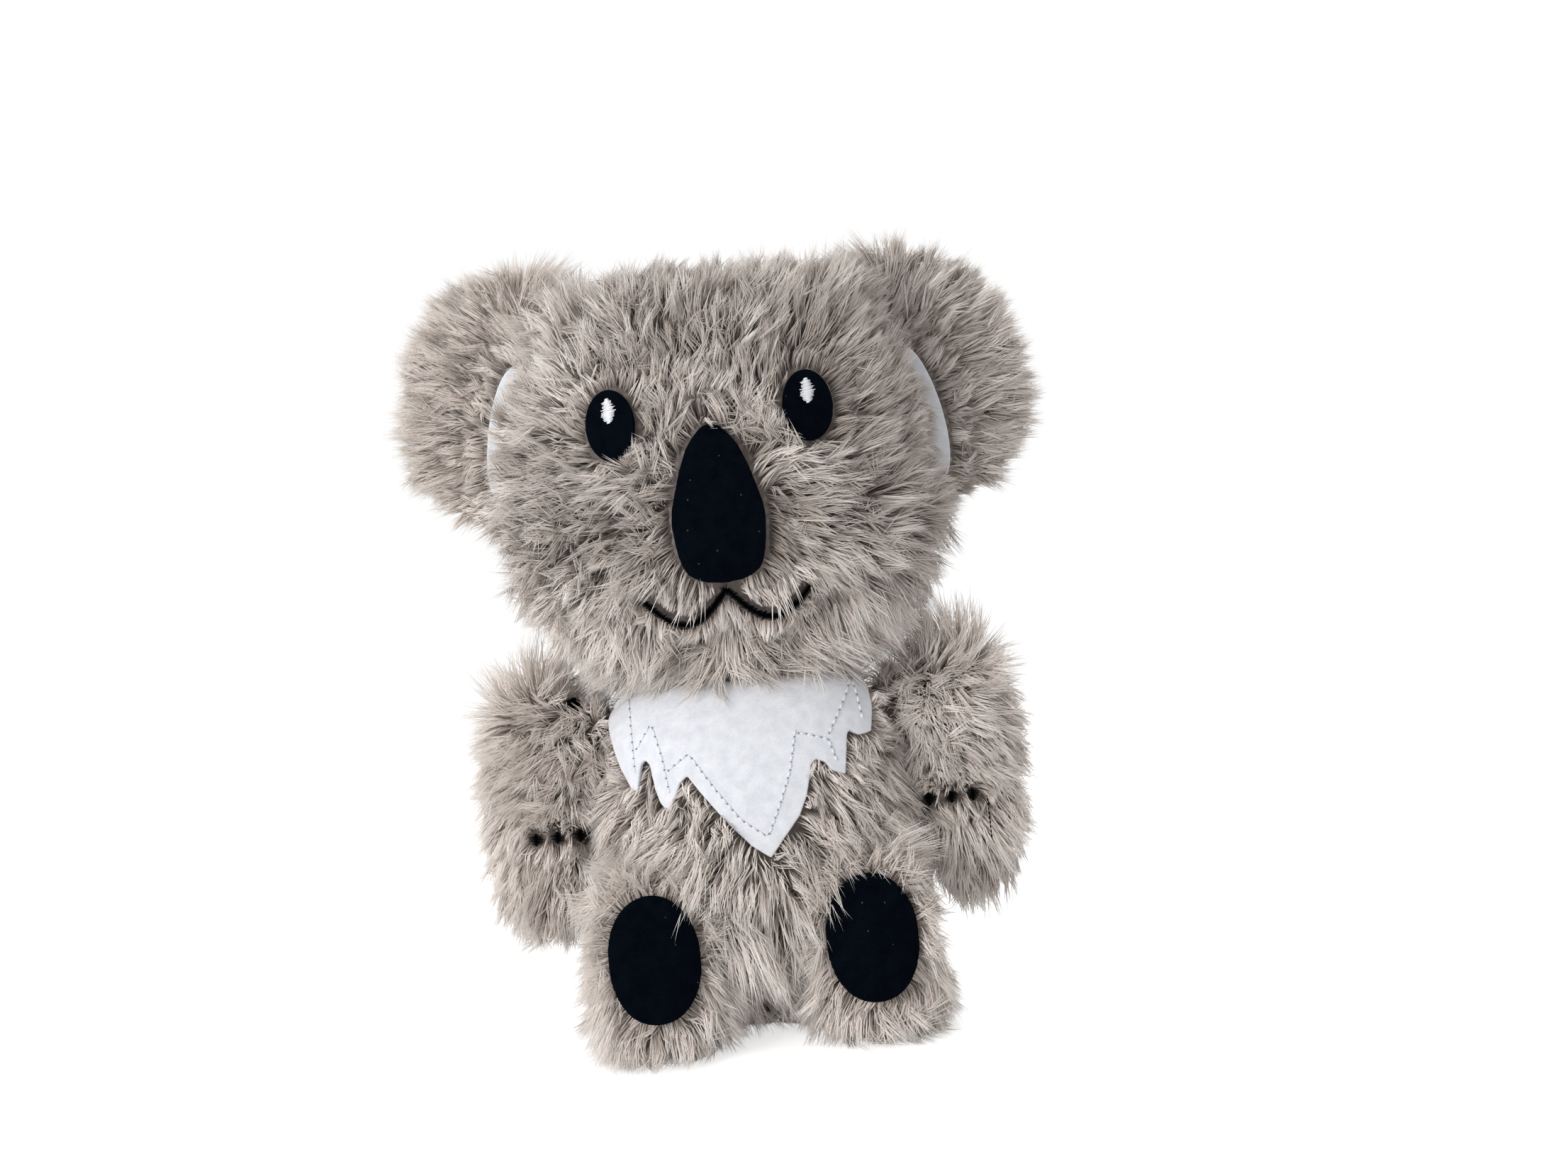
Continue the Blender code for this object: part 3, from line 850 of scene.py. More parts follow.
# Carded polyester fibre: white and matt, with its loose threads drawn coarse enough to show
FIBRE = ClothFinish("polyester_fibre", "stuffing", low="#E4E4E0", high="#F4F4F1", thread=1.2 * MM)
# Woven satin ribbon: white, with a low gloss and a fine weave
TAPE = ClothFinish(
    "satin_tape", "satin_tape", low="#E9E8E4", high="#F8F8F5", thread=0.35 * MM, roughness=0.4, sheen=0.3
)
# Felt dyed black: the darkest places, nearly without shine, with a little pale lint
BLACK_FELT = FeltFinish(
    "dyed_black_felt", "black_felt", low="#02050A", high="#080D15", mottle=4 * MM, sheen=0.0, gloss=0.02,
    lint="#3C434B",
)
# Bleached felt: a cool white, softly mottled, with a downy edge
WHITE_FELT = FeltFinish("bleached_felt", "white_felt", low="#DCDFE6", high="#F3F5FA")
# Black thread: so dull that its stitches show by their shapes alone
BLACK_THREAD = ThreadFinish(
    "black_thread", "black_thread", low="#010203", high="#05070A", roughness=0.8, sheen=0.0, gloss=0.0
)
# White thread: bright, with the soft gloss of laid stitches
WHITE_THREAD = ThreadFinish("white_thread", "white_thread", low="#E2E4EA", high="#F8F9FC")
# The same thread where it dips into the felt: in shade, so grey
GREY_THREAD = ThreadFinish("grey_thread", "white_thread", low="#737A89", high="#949BA9")


def seat(near: Array, start: float, end: float) -> Array:
    """How deep the cloth lies under the tips of the pile: hardly at all under felt and thread.

    Args:
        near: how far places are from felt and thread.
        start: how far from them it begins to sink.
        end: how far from them it lies at its full depth.

    Returns:
        The depth at each place.
    """
    return PILE_DEPTH * (FELT_SEAT + (1 - FELT_SEAT) * smoothstep(near, start, end))


def felt(outline: Outline, form: Form, voxel: float) -> Object:
    """A piece of felt with soft cut edges, laid over the front of a form.

    Args:
        outline: its outline across and up.
        form: the form that it is sewn to.
        voxel: the size of its faces.

    Returns:
        The felt, in the form's frame.
    """
    deselect()
    bpy.ops.mesh.primitive_circle_add(vertices=len(outline.points), fill_type="NGON")
    sheet = bpy.context.active_object
    across, up = outline.points.T
    set_points(sheet, np.column_stack((across, np.zeros(len(across)), up)))
    edit_all(sheet)
    bpy.ops.mesh.extrude_region_move(TRANSFORM_OT_translate={"value": (0, FELT_THICKNESS, 0)})
    sheet = merged([turned_out(sheet)], voxel, 2)
    flat = points_of(sheet)
    set_points(sheet, form.lay(flat[:, 0], flat[:, 2], FELT_LIFT + flat[:, 1]))
    return smooth(turned_out(sheet))


def mesh_from(points: Array, faces: Sequence[Array], size: int, count: int) -> Object:
    """A mesh of count copies of the same faces, each over its own run of size points.

    Args:
        points: the points of all the copies.
        faces: the corners of each face of one copy.
        size: the number of points of one copy.
        count: how many copies there are.

    Returns:
        The object.
    """
    loops = np.concatenate(faces)
    lengths = np.array([len(face) for face in faces])
    offsets = np.arange(count)[:, None] * size
    starts = np.concatenate(([0], np.cumsum(lengths)[:-1]))
    mesh = bpy.data.meshes.new("copies")
    mesh.vertices.add(len(points))
    mesh.vertices.foreach_set("co", np.ascontiguousarray(points, np.float32).ravel())
    mesh.loops.add(len(loops) * count)
    mesh.loops.foreach_set("vertex_index", (loops[None, :] + offsets).ravel().astype(np.int32))
    mesh.polygons.add(len(faces) * count)
    first = (starts[None, :] + np.arange(count)[:, None] * len(loops)).ravel()
    mesh.polygons.foreach_set("loop_start", first.astype(np.int32))
    mesh.update(calc_edges=True)
    made = bpy.data.objects.new("copies", mesh)
    bpy.context.scene.collection.objects.link(made)
    return smooth(made)


@dataclass(frozen=True)
class Satin:
    """Rows of laid thread: one slim stitch is modelled and copied along a path or across a patch."""

    radius: float = 0.2 * MM
    pitch: float = 0.36 * MM
    slant: float = 0.1 * MM
    sides: int = 6
    rings: int = 5
    ragged: float = 0.16
    row_slant: float = 0.12
    patch_share: float = 0.94

    def laid(self, ends: Array, form: Form, lift: float) -> Object:
        """Stitches between pairs of places over a form's front.

        Args:
            ends: a row for each stitch: the first place across and up, then the second.
            form: the form that they are sewn to.
            lift: the height of their middles over it.

        Returns:
            The stitches as one mesh, in the form's frame.
        """
        first, last = form.lay(ends[:, 0], ends[:, 1], lift), form.lay(ends[:, 2], ends[:, 3], lift)
        half = (ends[:, 0] + ends[:, 2]) / 2, (ends[:, 1] + ends[:, 3]) / 2
        middle = form.lay(*half, lift)
        along = (last - first) / 2
        side = unit(np.cross(along, form.lay(*half, lift + MM) - middle)) * self.radius
        axes = along, side, unit(np.cross(side, along)) * self.radius
        stitch = unit_ball(self.sides, self.rings)
        points = points_of(stitch)
        out = middle[:, None, :] + sum(points[None, :, k, None] * axes[k][:, None, :] for k in range(3))
        made = mesh_from(out.reshape(-1, 3), faces_of(stitch), len(points), len(middle))
        bpy.data.objects.remove(stitch)
        return turned_out(made)

    def row(self, path: Array, width: float) -> Array:
        """Stitch ends across a path, side by side, as a satin-stitched line has them.

        Args:
            path: its points, across and up.
            width: how wide the row is.

        Returns:
            A row of four numbers for each stitch.
        """
        dense = resampled(path, self.pitch)
        run = unit(np.gradient(dense, axis=0))
        square = np.column_stack((-run[:, 1], run[:, 0])) * width / 2 * self.uneven(dense)
        slant = run * self.row_slant * width
        return np.hstack((dense - square - slant, dense + square + slant))

    def uneven(self, rows: Array) -> Array:
        """A length for each row of stitches, near 1."""
        return 1 + self.ragged * np.random.default_rng(SEED + 60 + len(rows)).normal(size=(len(rows), 1))

    def patch(self, outline: Outline) -> Array:
        """Stitch ends that fill an oval outline, side by side and a little slanted.

        Args:
            outline: the patch's outline.

        Returns:
            A row of four numbers for each stitch.
        """
        low, high = outline.points.min(axis=0), outline.points.max(axis=0)
        centre, half = (low + high) / 2, (high - low) / 2
        count = max(int(2 * half[1] / self.pitch), 2)
        rise = np.linspace(-self.patch_share, self.patch_share, count)
        reach = np.sqrt(1 - rise**2) * half[0]
        z = centre[1] + rise * half[1]
        left = reach * self.uneven(rise)[:, 0]
        right = reach * self.uneven(rise[:-1])[[*range(count - 1), 0], 0]
        return np.column_stack((centre[0] - left, z - self.slant, centre[0] + right, z + self.slant))


def resampled(path: Array, pitch: float) -> Array:
    """The same path with points at an even pitch.

    Args:
        path: the path's points.
        pitch: the way from one point to the next.

    Returns:
        The new points.
    """
    runs = np.concatenate(([0], np.cumsum(np.linalg.norm(np.diff(path, axis=0), axis=1))))
    places = np.linspace(0, runs[-1], max(int(round(runs[-1] / pitch)) + 1, 2))
    return np.column_stack([np.interp(places, runs, path[:, k]) for k in range(path.shape[1])])


@dataclass
class Hairs:
    """Combed hairs: each bends once between its root and its tip."""

    root: Array
    middle: Array
    tip: Array
    side: Array
    radius: Array
    tone: Array

    def kept(self, mask: Array) -> Hairs:
        """The hairs that a mask picks."""
        return Hairs(*(getattr(self, name)[mask] for name in self.__dataclass_fields__))

    def over(self, near: Field, margin: float) -> Array:
        """Which hairs reach over a bare place by more than a margin.

        Args:
            near: gives how far places are from the bare place.
            margin: how far a hair may reach over it.

        Returns:
            True for each hair that does.
        """
        out = np.zeros(len(self.root), bool)
        for share in LOOKED_AT:
            out |= near(self.root + (self.middle - self.root) * share) < -margin
            out |= near(self.middle + (self.tip - self.middle) * share) < -margin
        return out

    def trimmed(self, near: Field, margin: float, spared: Array | bool = False) -> Hairs:
        """The hairs, clipped where they reach over a bare place.

        Args:
            near: gives how far places are from the bare place.
            margin: how far a hair may reach over it.
            spared: the hairs that aren't clipped.

        Returns:
            The hairs, without those that are over it even when they are short.
        """
        middle, tip = self.middle.copy(), self.tip.copy()
        crossing = np.flatnonzero(self.over(near, margin) & ~np.asarray(spared))
        for _ in range(CLIPS):
            for ends in (middle, tip):
                ends[crossing] += (self.root[crossing] - ends[crossing]) * CLIP_SHARE
            clipped = replace(self, middle=middle, tip=tip)
            crossing = crossing[clipped.kept(crossing).over(near, margin)]
        keep = np.ones(len(self.root), bool)
        keep[crossing] = False
        return clipped.kept(keep)

    def placed(self, place: Matrix) -> Hairs:
        """The hairs carried by a placement."""
        root, middle, tip = (moved(points, place) for points in (self.root, self.middle, self.tip))
        return replace(self, root=root, middle=middle, tip=tip, side=self.side @ np.array(place)[:3, :3].T)


@dataclass(frozen=True)
class Comb:
    """How a coat is combed: its length, how steeply it stands, and how it gathers in locks and wisps.

    Three sizes in a row are those of chance by lock, by wisp and by hair.
    """

    length: float = 16 * MM
    root_rise: float = math.radians(62)
    tip_rise: float = math.radians(32)
    bend_share: float = 0.45
    lock: int = 30
    wisp: int = 5
    gather: float = 0.6
    lock_gather: float = 0.42
    stray_share: float = 0.1
    stray_gather: float = 0.15
    radius: float = 0.165 * MM
    sway: float = 0.38
    sway_sizes: Triple = (1.0, 0.45, 0.25)
    ruffle_sizes: Triple = (0.5, 1.2, 0.3)
    rise_sizes: Triple = (0.15, 0.06, 0.04)
    length_sizes: Triple = (0.1, 0.03, 0.05)
    bend_sizes: Triple = (0.03, 0.03, 0.02)
    tone_sizes: Triple = (0.22, 0.132, 0.1)
    # Hairs at a lock's edge are toned darker: painted shade between the locks
    edge_tone: float = -0.45
    # The tip's rise against the root's: how much more it varies by chance, and how far it follows a style
    tip_unrest: float = 1.3
    tip_follow: float = 0.85
    # A lock is longest at its heart, and each hair's length is kept within limits, alone and in its wisp
    heart_length: float = 1.08
    edge_shorter: float = 0.32
    lengths: tuple[float, float] = (0.6, 1.2)
    wisp_lengths: tuple[float, float] = (0.75, 1.2)
    # How far hairs close up at their middles and tips: the wisp's, and the middles' share of what the tips do
    close_middle: float = 0.3
    close_tip: float = 0.9
    middle_gather: float = 0.8
    middle_lock: float = 0.35
    tip_scatter: float = 0.03
    thinnest: float = 0.75
    thicker: float = 0.5
    tones: tuple[float, float] = (0.02, 0.98)


class Style:
    """How each hair of a coat is cut, combed and dyed.

    It holds the share of the comb's length that a hair has, how much more steeply it stands, from -1 for flat
    to 1 for upright, how far its wisp strays from the flow, and how pale it is.
    """

    def __init__(self, roots: Array, tone: float, dye: Drift) -> None:
        """The same all over, but for the drift of the dye.

        Args:
            roots: places of the hairs' roots.
            tone: how pale the coat is, from 0 to 1 and over.
            dye: how its tone drifts.
        """
        self.length = np.ones(len(roots))
        self.rise = np.zeros(len(roots))
        self.ruffle = np.zeros(len(roots))
        self.tone = tone + dye.at(roots)[:, 0]

    def change(self, share: Array, length: float = 0.0, rise: float = 0.0, tone: float = 0.0) -> None:
        """Changes the coat in a zone.

        Args:
            share: how much each hair belongs to the zone.
            length: the share of its length that a hair gains there.
            rise: how much more steeply it stands there.
            tone: how much paler it is there.
        """
        self.length *= 1 + length * share
        self.rise += rise * share
        self.tone += tone * share


def rooted(skin: Object, count: int, rng: Chance, density: Field) -> tuple[Array, Array]:
    """Places of hairs, spread over a cloth by a density.

    Args:
        skin: the whole cloth.
        count: how many.
        rng: the source of chance.
        density: gives a weight for places.

    Returns:
        The places, and the outward direction at each.
    """
    data = skin.data
    data.calc_loop_triangles()
    corners = np.empty(3 * len(data.loop_triangles), np.int32)
    data.loop_triangles.foreach_get("vertices", corners)
    corners = corners.reshape(-1, 3)
    points = points_of(skin)
    normals = np.empty(3 * len(points))
    data.vertices.foreach_get("normal", normals)
    normals = normals.reshape(-1, 3)
    a, b, c = (points[corners[:, k]] for k in range(3))
    weight = np.linalg.norm(np.cross(b - a, c - a), axis=1) * density((a + b + c) / 3)
    chosen = rng.choice(len(corners), count, p=weight / weight.sum())
    u, v = rng.random((2, count))
    flip = u + v > 1
    u[flip], v[flip] = 1 - u[flip], 1 - v[flip]
    share = np.column_stack((1 - u - v, u, v))[:, :, None]
    return (points[corners[chosen]] * share).sum(axis=1), unit((normals[corners[chosen]] * share).sum(axis=1))


def gathered(roots: Array, size: int, rng: Chance) -> tuple[Array, Array]:
    """Gathers hairs round some of them.

    Args:
        roots: places of the roots.
        size: how many hairs gather round one, on average.
        rng: the source of chance.

    Returns:
        The number of the hair that each gathers round, and the number of its gathering.
    """
    heads = rng.choice(len(roots), max(len(roots) // size, 1), replace=False)
    tree = kdtree.KDTree(len(heads))
    for index, head in enumerate(heads):
        tree.insert(roots[head], index)
    tree.balance()
    found = np.array([tree.find(root)[1] for root in roots])
    return heads[found], found


def combed(
    roots: Array,
    normals: Array,
    flow: Field,
    comb: Comb,
    rng: Chance,
    style: Style,
) -> Hairs:
    """Combs hairs from their roots along a flow and gathers them in locks.

    Args:
        roots: places of the roots.
        normals: outward directions there.
        flow: gives the direction that the pile lies in, for places.
        comb: how it is combed.
        rng: the source of chance.
        style: how each hair is cut, combed and dyed.

    Returns:
        The hairs.
    """
    count = len(roots)
    lock, in_lock = gathered(roots, comb.lock, rng)
    wisp, in_wisp = gathered(roots, comb.wisp, rng)
    off_lock, off_wisp = roots - roots[lock], roots - roots[wisp]
    away = np.linalg.norm(off_lock, axis=1)
    edge = np.clip(away / np.percentile(away, 90), 0, 1) ** 2

    def chance(sizes: Triple, scale: float = 1.0) -> Array:
        """Chance by lock, by wisp and by hair, of the given sizes, in three directions."""
        by_lock, by_wisp, by_hair = (rng.normal(size=(count, 3)) * (size * scale) for size in sizes)
        return by_lock[in_lock] + by_wisp[in_wisp] + by_hair

    lie = flow(roots) + chance(comb.sway_sizes, comb.sway)
    lie += chance(comb.ruffle_sizes) * style.ruffle[:, None]
    lie = unit(lie - (lie * normals).sum(axis=1, keepdims=True) * normals)
    steep = chance(comb.rise_sizes)[:, 0]
    more, less = np.maximum(style.rise, 0), np.minimum(style.rise, 0)
    root_rise = steep + comb.root_rise * (1 + less) + more * (math.pi / 2 - comb.root_rise)
    tip_rise = steep * comb.tip_unrest + comb.tip_rise
    tip_rise += more * (math.pi / 2 - comb.tip_rise) * comb.tip_follow
    varied = np.clip(1 + chance(comb.length_sizes)[:, 0], *comb.lengths)
    reach = comb.length * style.length * (comb.heart_length - comb.edge_shorter * edge) * varied

    def step(angle: Array, share: float) -> Array:
        """One stretch of each hair, at an angle to the cloth."""
        run = normals * np.sin(angle)[:, None] + lie * np.cos(angle)[:, None]
        return run * (reach * share)[:, None]

    middle = roots + step(root_rise, comb.bend_share)
    tip = middle + step(tip_rise, 1 - comb.bend_share)
    ratio = np.clip(reach / reach[wisp], *comb.wisp_lengths)[:, None]
    pull = np.where(rng.random(count) < comb.stray_share, comb.stray_gather, comb.gather)[:, None]
    shared_middle = roots + (middle[wisp] - roots[wisp]) * ratio - off_wisp * comb.close_middle
    shared_tip = roots + (tip[wisp] - roots[wisp]) * ratio - off_wisp * comb.close_tip
    to_lock = off_lock * comb.lock_gather
    middle += (shared_middle - middle) * pull * comb.middle_gather - to_lock * comb.middle_lock
    tip += (shared_tip - tip) * pull - to_lock
    middle += chance(comb.bend_sizes) * reach[:, None]
    tip += rng.normal(size=(count, 3)) * comb.tip_scatter * reach[:, None]
    # Painted shade: hairs at the edges of locks are toned darker
    tone = style.tone + comb.edge_tone * edge + chance(comb.tone_sizes)[:, 0]
    thick = comb.radius * (comb.thinnest + comb.thicker * rng.random(count))
    return Hairs(roots, middle, tip, np.cross(lie, normals), thick, np.clip(tone, *comb.tones))


def hair_template() -> Object:
    """The one hair that every coat copies: a three-sided point with a ring half of the way up.

    Returns:
        The hair.
    """
    deselect()
    bpy.ops.mesh.primitive_cone_add(vertices=3, radius1=1, radius2=0, depth=1, location=(0, 0, 0.5))
    hair = bpy.context.active_object
    bpy.ops.object.transform_apply(location=True)
    edit_all(hair)
    bpy.ops.mesh.bisect(plane_co=(0, 0, 0.5), plane_no=(0, 0, 1))
    return turned_out(hair)


def grown(hairs: Hairs) -> Object:
    """Makes hairs from copies of the one hair, bent at their middles.

    Args:
        hairs: the hairs, where they stand in the toy.

    Returns:
        The coat as one mesh, with its tones in its own map.
    """
    template = hair_template()
    shape, faces = points_of(template), faces_of(template)
    bpy.data.objects.remove(template)
    rings = []
    for start, end, width in ((hairs.root, hairs.middle, 1.0), (hairs.middle, hairs.tip, BEND_WIDTH)):
        along = unit(end - start)
        side = unit(hairs.side - (hairs.side * along).sum(axis=1, keepdims=True) * along)
        rings.append((start, side, np.cross(along, side), (hairs.radius * width)[:, None]))
    out = np.empty((len(hairs.root), len(shape), 3))
    for k, (x, y, z) in enumerate(shape):
        level = int(round(len(rings) * z))
        if level == len(rings):
            out[:, k] = hairs.tip
            continue
        centre, side, up, radius = rings[level]
        over = math.hypot(x, y)
        out[:, k] = centre + (side * (x / over) + up * (y / over)) * radius
    out[:, :, 1] = np.maximum(out[:, :, 1], FRONT_REACH)
    out[:, :, 2] = np.maximum(out[:, :, 2], FLOOR_CLEARANCE)
    coat = mesh_from(out.reshape(-1, 3), faces, len(shape), len(out))
    coat.data.shade_flat()
    across = MAP_STEP * np.sum([shape[:, 0] >= edge for edge in MAP_EDGES], axis=0)
    loops = np.concatenate(faces)
    turns = [math.atan2(*shape[face][:, :2].mean(axis=0)) for face in faces]
    sides = [np.full(len(face), SIDE_TONE * round(turn / SIDE_ANGLE)) for face, turn in zip(faces, turns)]
    u = np.clip(hairs.tone[:, None] + np.concatenate(sides), 0, PALEST) + across[loops]
    v = np.broadcast_to(shape[loops, 2], u.shape)
    layer = coat.data.uv_layers.new(name=BAKE_MAP)
    layer.uv.foreach_set("vector", np.stack((u, v), axis=-1).astype(np.float32).ravel())
    return coat


@dataclass(frozen=True)
class Panel:
    """A panel of cloth: its name, the planes that bound it and how many hairs grow on it.

    A plane is the axis that it is square to, the sign of the side that stays, and its place.
    """

    name: str
    planes: tuple[tuple[int, int, float], ...]
    hairs: int = 0

    def holds(self, points: Array) -> Array:
        """Which places lie on the panel."""
        return np.all([(points[:, axis] - at) * keep > 0 for axis, keep, at in self.planes], axis=0)

    def cloth(self, skin: Object) -> Object:
        """The panel's backing, cut from a copy of the whole cloth; the pile hides how coarse it is.

        Args:
            skin: the whole cloth.

        Returns:
            The backing.
        """
        choose(skin)
        bpy.ops.object.duplicate()
        made = bpy.context.active_object
        for plane in self.planes:
            cut(made, *plane)
        made.modifiers.new("Decimate", "DECIMATE").ratio = BACKING_SHARE
        return thickened(made, CLOTH_THICKNESS, -1)


class Sewn:
    """What every sewn sub-assembly does with its cloth.

    Each has a body that it rides on, the place of its own frame, its panels and its comb, with the number of
    its own chance. It says where hairs grow, how they flow, how they are styled and where they are trimmed.
    """

    body: str
    place: Matrix = TO_FLOOR
    panels: Sequence[Panel]
    comb: Comb
    number: int

    def dress(
        self, item: Object, name: str, finish: Finish, *nodes: str, place: Matrix | None = None
    ) -> Object:
        """Names a piece, places its mesh, gives it its finish and sets it on its body.

        Args:
            item: the piece.
            name: the piece's name.
            finish: its finish.
            nodes: the solids that it stands for.
            place: where its mesh goes from its own frame, if not to the sub-assembly's place.

        Returns:
            The same object.
        """
        deselect()
        place = self.place if place is None else place
        item.data.transform(place)
        if place.determinant() < 0:
            item.data.flip_normals()
        item.name = item.data.name = name
        item.data.materials.clear()
        item.data.materials.append(finish.material())
        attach(item, self.body)
        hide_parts(*nodes)
        log.info("%s rides on %s: %d faces", name, self.body, len(item.data.polygons))
        return item

    def back(self, skin: Object) -> None:
        """Cuts the backing of each panel."""
        for panel in self.panels:
            self.dress(panel.cloth(skin), f"{panel.name}_backing", BACKING, f"{panel.name}_panel")

    def fill(self, core: Object, name: str, node: str, fullness: float = 0.85) -> None:
        """Makes a closed shape the fibre filling that stands for a node."""
        self.dress(smooth(core), name, FIBRE, node)

    def lay_felt(self, outline: Outline, form: Form, voxel: float, name: str, finish: Finish) -> None:
        """Lays a felt that stands for the felt of the same name."""
        self.dress(felt(outline, form, voxel), f"{name}_patch", finish, f"{name}_felt")

    def coat(self, hairs: Hairs, name: str, node: str) -> None:
        """Grows hairs as a coat that stands for a node."""
        self.dress(grown(hairs.placed(self.place)), f"{name}_pile", PILE, node, place=Matrix())

    def grow(self, skin: Object) -> None:
        """Grows the coat of each panel, and deletes the whole cloth.

        Args:
            skin: the whole cloth.
        """
        rng = np.random.default_rng(SEED + self.number)
        for panel in self.panels:
            roots, normals = rooted(skin, panel.hairs, rng, lambda at: self.open_cloth(at) * panel.holds(at))
            hairs = combed(roots, normals, self.flow, self.comb, rng, self.styled(roots))
            self.coat(self.trim(hairs, panel, rng), panel.name, f"{panel.name}_panel")
        bpy.data.objects.remove(skin)

    def open_cloth(self, points: Array) -> Array:
        """How thickly hairs grow at places on the cloth; each sub-assembly gives it."""
        raise NotImplementedError

    def flow(self, points: Array) -> Array:
        """The direction that the pile lies in at places; each sub-assembly gives it."""
        raise NotImplementedError

    def styled(self, roots: Array) -> Style:
        """How hairs are styled; each sub-assembly gives it."""
        raise NotImplementedError

    def trim(self, hairs: Hairs, panel: Panel, rng: Chance) -> Hairs:
        """Trims the hairs of a panel; each sub-assembly does it."""
        raise NotImplementedError


def halves(
    name: str,
    words: Sequence[str],
    hairs: Sequence[int],
    seam: tuple[int, float],
    *bounds: tuple[int, int, float],
) -> list[Panel]:
    """The two panels of a form.

    Args:
        name: the form's name.
        words: the panels' own words, the one at the lower end of the seam's axis first.
        hairs: how many grow on each.
        seam: the axis that the seam's plane is square to, and its place.
        bounds: other planes that bound both panels.

    Returns:
        The panels.
    """
    return [
        Panel(f"{name}_{word}", (*bounds, (seam[0], keep, seam[1])), count)
        for word, keep, count in zip(words, (-1, 1), hairs)
    ]


HEAD = Form(
    (0, 0, 165 * MM), 69 * MM, 50 * MM, 48 * MM, 70 * MM, 54 * MM, 2.2, 2.85, 2.5,
    Bulge(8 * MM, 30 * MM, 24 * MM, -21 * MM),
)
TORSO = Form(
    (0, 0, 53.5 * MM), 50 * MM, 41 * MM, 37 * MM, 54 * MM, 54 * MM, 2.4, 3.6, 6.0,
    Bulge(7 * MM, 36 * MM, 32 * MM, -8 * MM),
)
EAR = Form((6 * MM, 0, 4 * MM), 38 * MM, 9.5 * MM, 9.5 * MM, 43 * MM, 43 * MM, 2.2, 2.2, 2.2)
ARM = Form((21 * MM, 0, -16 * MM), 18.5 * MM, 17 * MM, 17 * MM, 41 * MM, 41 * MM, 2.4, 2.4, 2.4)
LEG = Form((0, -16 * MM, 0), 20.5 * MM, 28 * MM, 28 * MM, 28 * MM, 28 * MM, 2.6, 4.0, 6.0)
EAR_FRAME = Matrix.Translation((57.96 * MM, 8 * MM, 193 * MM)) @ Matrix.Rotation(math.radians(-12), 4, "Y")
ARM_FRAME = Matrix.Translation((44.3 * MM, 2 * MM, 88 * MM)) @ Matrix.Rotation(math.radians(-10), 4, "X")
LEG_FRAME = Matrix.Translation((31 * MM, -14 * MM, 27.5 * MM))
HIPS = [(side.place(LEG_FRAME).translation - TO_FLOOR.translation) for side in Side]
NECK_CENTRE = (0, 2 * MM, 104 * MM)
NECK_RADIUS = 20 * MM
NECK_MARGIN = 1.5 * MM
HIP_RADII = (14.5 * MM, 22 * MM, 22 * MM)
GAP = 0.4 * MM
SIDE_SEAM = 16.6 * MM
FACE_SEAM = 8 * MM
FILLING_INSET = PILE_DEPTH + 2 * CLOTH_THICKNESS


def neck_hollow(margin: float) -> list[Object]:
    """The neck's ball with a margin round it, to carve with."""
    return [egg(NECK_CENTRE, [NECK_RADIUS + margin] * 3)]


def hip_hollows(margin: float) -> list[Object]:
    """The hips' eggs with a margin round them, to carve with."""
    return [egg(hip, [radius + margin for radius in HIP_RADII]) for hip in HIPS]


def off_neck(points: Array) -> Array:
    """Which places lie outside the neck."""
    return np.linalg.norm(points - NECK_CENTRE, axis=1) > NECK_RADIUS + NECK_MARGIN


